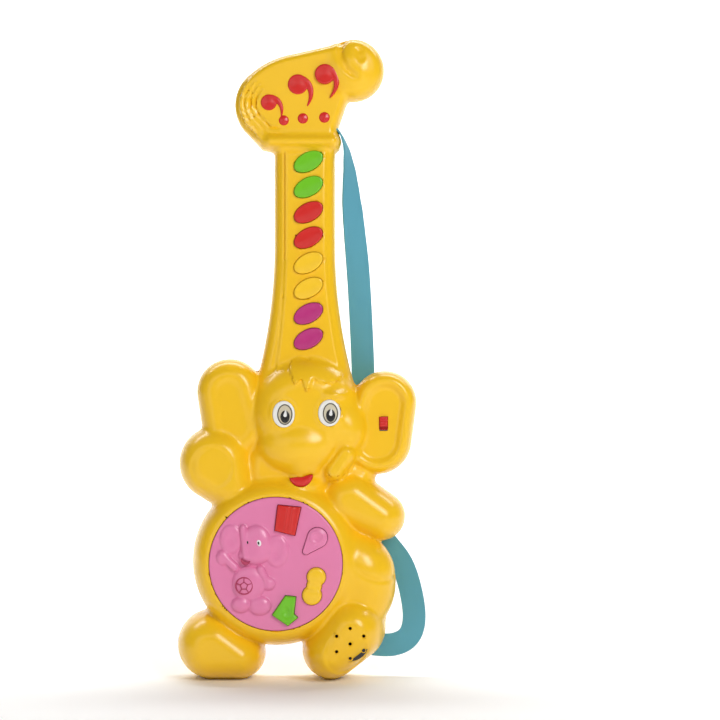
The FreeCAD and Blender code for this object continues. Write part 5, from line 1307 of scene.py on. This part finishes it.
# ---------------------------------------------------------------- repeats by geometry nodes
def scatter_tree():
    """A tree that stands a copy of one piece on each point, turned and stretched by the points' values."""
    tree = bpy.data.node_groups.new("Stand On Points", "GeometryNodeTree")
    socket(tree, "Geometry", "NodeSocketGeometry", "INPUT")
    socket(tree, "Piece", "NodeSocketObject", "INPUT")
    socket(tree, "Finish", "NodeSocketMaterial", "INPUT")
    socket(tree, "Size", "NodeSocketFloat", "INPUT", 1.0)
    socket(tree, "Seed", "NodeSocketInt", "INPUT", 0)
    socket(tree, "Geometry", "NodeSocketGeometry", "OUTPUT")
    start, end = node(tree, "NodeGroupInput"), node(tree, "NodeGroupOutput")
    info = feed(tree, node(tree, "GeometryNodeObjectInfo"), {"Object": start.outputs["Piece"]})
    turn, stretch = (feed(tree, node(tree, "GeometryNodeInputNamedAttribute", data_type="FLOAT_VECTOR"),
                          {"Name": name}) for name in ("turn", "stretch"))
    scaled = node(tree, "ShaderNodeVectorMath", operation="SCALE")
    feed(tree, scaled, {0: stretch.outputs["Attribute"], "Scale": start.outputs["Size"]})
    stand = node(tree, "GeometryNodeInstanceOnPoints")
    feed(tree, stand, {"Points": start.outputs["Geometry"], "Instance": info.outputs["Geometry"],
                       "Rotation": turn.outputs["Attribute"], "Scale": scaled.outputs["Vector"]})
    real = feed(tree, node(tree, "GeometryNodeRealizeInstances"), {"Geometry": stand.outputs["Instances"]})
    paint = feed(tree, node(tree, "GeometryNodeSetMaterial"),
                 {"Geometry": real.outputs["Geometry"], "Material": start.outputs["Finish"]})
    feed(tree, end, {"Geometry": paint.outputs["Geometry"]})
    return tree


def scatter(name, pattern, places, finish, smooth=40.0):
    """One mesh of a pattern's copies, each at (x, y, z, turn about Y, stretch); the pattern is removed."""
    tree = bpy.data.node_groups.get("Stand On Points") or scatter_tree()
    points = bpy.data.meshes.new(name + "_points")
    points.from_pydata([(x * MM, y * MM, z * MM) for x, y, z, _, _ in places], [], [])
    turns = points.attributes.new("turn", "FLOAT_VECTOR", "POINT")
    stretches = points.attributes.new("stretch", "FLOAT_VECTOR", "POINT")
    for n, (_, _, _, turn, stretch) in enumerate(places):
        turns.data[n].vector = (0.0, turn, 0.0)
        stretches.data[n].vector = (1.0, 1.0, stretch)
    holder = bpy.data.objects.new(name + "_points", points)
    bpy.context.scene.collection.objects.link(holder)
    modifier = holder.modifiers.new("copies", "NODES")
    modifier.node_group = tree
    keys = {item.name: item.identifier for item in tree.interface.items_tree if item.in_out == "INPUT"}
    modifier[keys["Piece"]] = pattern
    modifier[keys["Finish"]] = finish
    modifier[keys["Size"]] = 1.0
    modifier[keys["Seed"]] = 0
    context = bpy.context
    context.view_layer.update()
    mesh = bpy.data.meshes.new_from_object(holder.evaluated_get(context.evaluated_depsgraph_get()))
    mesh.name = name
    if not mesh.materials:
        mesh.materials.append(finish)
    piece = bpy.data.objects.new(name, mesh)
    context.scene.collection.objects.link(piece)
    mesh.shade_smooth()
    mesh.set_sharp_from_angle(angle=math.radians(smooth))
    for spent in (holder, pattern):
        bpy.data.objects.remove(spent)
    return piece


def turned_pattern(name, profile, count, finish, recess=None):
    """A turned part about the Y axis from (radius, y) pairs, in millimetres; recess may shape its rings."""
    t = np.linspace(0, 2 * math.pi, count, endpoint=False)
    rings = []
    for radius, y in profile:
        depth = recess(t, radius, y) if recess else np.full(count, y)
        rings.append(np.stack([radius * np.cos(t), depth, radius * np.sin(t)], 1))
    return rings_piece(name, rings, finish)


def cross_recess(half, reach, deep):
    """A cross-shaped recess in a screw's head: arms along both axes."""
    def shape(t, radius, y):
        across = np.minimum(np.abs(radius * np.cos(t)), np.abs(radius * np.sin(t)))
        along = np.maximum(np.abs(radius * np.cos(t)), np.abs(radius * np.sin(t)))
        inside = (across < half) & (along < reach)
        return np.where(inside, y - deep * (1 - 0.5 * along / reach), y)
    return shape


class TOY_OT_screws(bpy.types.Operator):
    """Make the screws that join the shells and hold the battery door"""
    bl_idname = "toy_guitar.screws"
    bl_label = "Screws"

    def execute(self, context):
        steel = finish_of("screw_steel")
        head = [(0.02, 0.0)] + [(r, 0.0) for r in np.linspace(0.2, 2.2, 11)]
        head = [(r, 2.0 - 0.10 * r * r) for r, _ in head]
        head += [(2.6, 1.05), (2.8, 0.6), (2.8, 0.1), (2.7, 0.0), (1.3, 0.0)]
        thread = []
        for n in range(13):
            thread += [(1.3, -0.7 * n - 0.1), (0.98, -0.7 * n - 0.45)]
        profile = head + thread + [(0.6, -9.6), (0.05, -10.0)]
        recess = cross_recess(0.34, 1.75, 1.1)
        pattern = turned_pattern("screw_pattern", profile, 48, steel, recess)
        places = [(x, 10.0, z, 0.35 * n, 1.0) for n, (x, z) in enumerate(CASE_SCREWS)]
        case_set = scatter("case_screw_set", pattern, places, steel)
        stand_in(case_set, CASE, "screw_steel", "case_screws")
        pattern = turned_pattern("screw_pattern", profile, 48, steel, recess)
        door_set = scatter("door_screw_set", pattern, [(x, 22.85, z, 0.5 * n + 0.2, 1.0)
                                                       for n, (x, z) in enumerate(DOOR_SCREWS)], steel)
        stand_in(door_set, "battery_door", "screw_steel", "battery_door_screws")
        return {"FINISHED"}


class TOY_OT_speaker(bpy.types.Operator):
    """Make the rims of the sound holes in the sole of the raised foot"""
    bl_idname = "toy_guitar.speaker"
    bl_label = "Sound Holes"

    def execute(self, context):
        yellow = finish_of("yellow_shell")
        t = np.linspace(0, 2 * math.pi, 10, endpoint=False)
        rings = []
        for a in np.linspace(0, 2 * math.pi, 28, endpoint=False):
            radius = 1.3 + 0.42 * np.cos(t)
            rings.append(np.stack([radius * math.cos(a), 0.9 - 1.0 * np.sin(t), radius * math.sin(a)], 1))
        rim = rings_piece("hole_rim", rings, yellow, 60.0, closed=True)
        places = [(x, surface_y(front_outer, x, z) - 0.02, z, 0.0, 1.0) for x, z in sound_places()]
        rims = scatter("sound_hole_rims", rim, places, yellow, 60.0)
        stand_in(rims, CASE, "yellow_shell")
        return {"FINISHED"}


class TOY_OT_switch(bpy.types.Operator):
    """Make the ribbed sliding cap in the right ear"""
    bl_idname = "toy_guitar.switch"
    bl_label = "Ear Switch"

    def execute(self, context):
        def cap(x, y, z):
            v, dx, dz = PARTING - y, x - SWITCH[0], z - SWITCH[1]
            flat = np.maximum(np.abs(dx) - 2.5, np.abs(dz) - 3.0)
            ribs = 0.35 * groove((dz + 1.0) % 1.5 - 0.75, 0.35)
            top = 12.9 + ribs - 0.35 * ramp(np.abs(dx), 1.6, 2.5)
            body = slab(flat, v, 7.0, top, 0.5)
            flange = np.maximum(np.maximum(np.abs(dx) - 3.7, np.abs(dz) - 5.6),
                                np.maximum(v - 9.0, 7.8 - v))
            return np.minimum(body, flange)
        piece = field_piece("switch_slider", [cap], (47.5, -4.6, 149.5), (56.5, 2.6, 159.5), 0.3,
                            finish_of("red_plastic"), 42.0)
        stand_in(piece, "switch_cap", "red_plastic", "switch_cap")
        return {"FINISHED"}


# ---------------------------------------------------------------- battery door and tray
class TOY_OT_battery(bpy.types.Operator):
    """Make the battery door with its grip ribs, and the tray it covers"""
    bl_idname = "toy_guitar.battery"
    bl_label = "Battery Door"

    def execute(self, context):
        yellow = finish_of("yellow_shell")

        def door(x, y, z):
            v = y - PARTING
            flat = door_flat(x, z, 0.0)
            plate = slab(flat, v, 14.0, 15.95, 0.6)
            frame_line = np.abs(door_flat(x, z, -4.0))
            seats = np.min([circle(x, z, *place, 3.1) for place in DOOR_SCREWS], axis=0)
            return np.maximum(plate + 0.3 * groove(frame_line, 0.7), -np.maximum(seats, 14.6 - v))
        lid = field_piece("battery_lid", [door], (-38, 22.4, 19), (14, 25.6, 122.6), 0.75, yellow, 45.0)
        stand_in(lid, "battery_door", "yellow_shell", "battery_door")
        arch = [(0.15, -0.6), (-0.2, -0.35), (-0.3, 0.0), (-0.2, 0.35), (0.15, 0.6)]
        bar = rings_piece("grip_bar", [[(u * 12.0, v, w) for v, w in arch] for u in (-1.0, -0.97, 0.97, 1.0)],
                          yellow, 50.0)
        places = [(DOOR[0], 24.75, DOOR[1] + 20.0 + 2.6 * n, math.pi, 1.0) for n in range(6)]
        for vertex in bar.data.vertices:
            vertex.co.y = -vertex.co.y
        point_outwards(bar)
        grips = scatter("battery_lid_grips", bar, places, yellow)
        stand_in(grips, "battery_door", "yellow_shell")
        inner = (22.35, 28.95)
        outer = (24.1, 30.7)

        def walls(x, y, z):
            qx, qz = np.abs(x - DOOR[0]), np.abs(z - DOOR[1])
            shell = np.maximum(np.maximum(qx - outer[0], qz - outer[1]), np.maximum(y - 21.3, 6.6 - y))
            room = np.maximum(np.maximum(qx - inner[0], qz - inner[1]), 8.2 - y)
            rib = np.maximum(np.abs(np.abs(x - DOOR[0]) - 7.4) - 0.5, y - 10.6)
            return np.maximum(shell, -np.maximum(room, -rib))
        tray = field_piece("battery_tray", [walls], (-37, 6.2, 39.5), (13, 21.8, 102.1), 0.9, yellow, 40.0)
        stand_in(tray, CASE, "yellow_shell", "back_shell")
        return {"FINISHED"}


# ---------------------------------------------------------------- inner parts
INNER_FINISHES = {
    "silicone": ["key_sheet", "button_sheet"],
    "circuit_board": ["key_board", "main_board", "switch_board"],
    "chip_resin": ["sound_chip", "board_components"],
    "screw_steel": ["key_board_screws", "main_board_screws", "switch_screws", "speaker_screws"],
    "bright_steel": ["switch_body", "battery_springs", "contact_plates", "plus_studs", "speaker_frame",
                     "speaker_clamp"],
    "magnet": ["speaker_magnet"],
    "paper_cone": ["speaker_cone"],
    "cell_jacket": ["battery_1", "battery_2", "battery_3"],
    "wire_jacket": ["speaker_wires", "battery_wires", "switch_wires"],
    "glint_white": ["key_ribbon_cable"],
    "yellow_plastic": ["strap_anchors"],
}


class TOY_OT_inner_parts(bpy.types.Operator):
    """Give the boards, cells, speaker, wires and springs their finishes"""
    bl_idname = "toy_guitar.inner_parts"
    bl_label = "Inner Parts"

    def execute(self, context):
        for finish, names in INNER_FINISHES.items():
            for name in names:
                for place in bpy.data.objects[name].material_slots:
                    place.material = finish_of(finish)
        return {"FINISHED"}


# ---------------------------------------------------------------- panel and order of making
OPERATORS = [TOY_OT_finishes, TOY_OT_stage, TOY_OT_strap, TOY_OT_shells, TOY_OT_keys, TOY_OT_headstock,
             TOY_OT_face, TOY_OT_belly, TOY_OT_speaker, TOY_OT_switch, TOY_OT_screws, TOY_OT_battery,
             TOY_OT_inner_parts]


class TOY_PT_panel(bpy.types.Panel):
    bl_idname = "TOY_PT_panel"
    bl_label = "Toy Guitar"
    bl_space_type = "VIEW_3D"
    bl_region_type = "UI"
    bl_category = "Toy Guitar"

    def draw(self, context):
        for group in (context.scene.toy_guitar, context.scene.toy_stage):
            for name in group.__annotations__:
                self.layout.prop(group, name)
        for operator in OPERATORS:
            self.layout.operator(operator.bl_idname)


CLASSES = [ToyGuitarSettings, ToyStageSettings] + OPERATORS + [TOY_PT_panel]


def register():
    for cls in CLASSES:
        bpy.utils.register_class(cls)
    bpy.types.Scene.toy_guitar = bpy.props.PointerProperty(type=ToyGuitarSettings)
    bpy.types.Scene.toy_stage = bpy.props.PointerProperty(type=ToyStageSettings)


def unregister():
    del bpy.types.Scene.toy_stage
    del bpy.types.Scene.toy_guitar
    for cls in reversed(CLASSES):
        bpy.utils.unregister_class(cls)


def main():
    register()
    for operator in OPERATORS:
        group, name = operator.bl_idname.split(".")
        getattr(getattr(bpy.ops, group), name)()


if __name__ == "__main__":
    main()
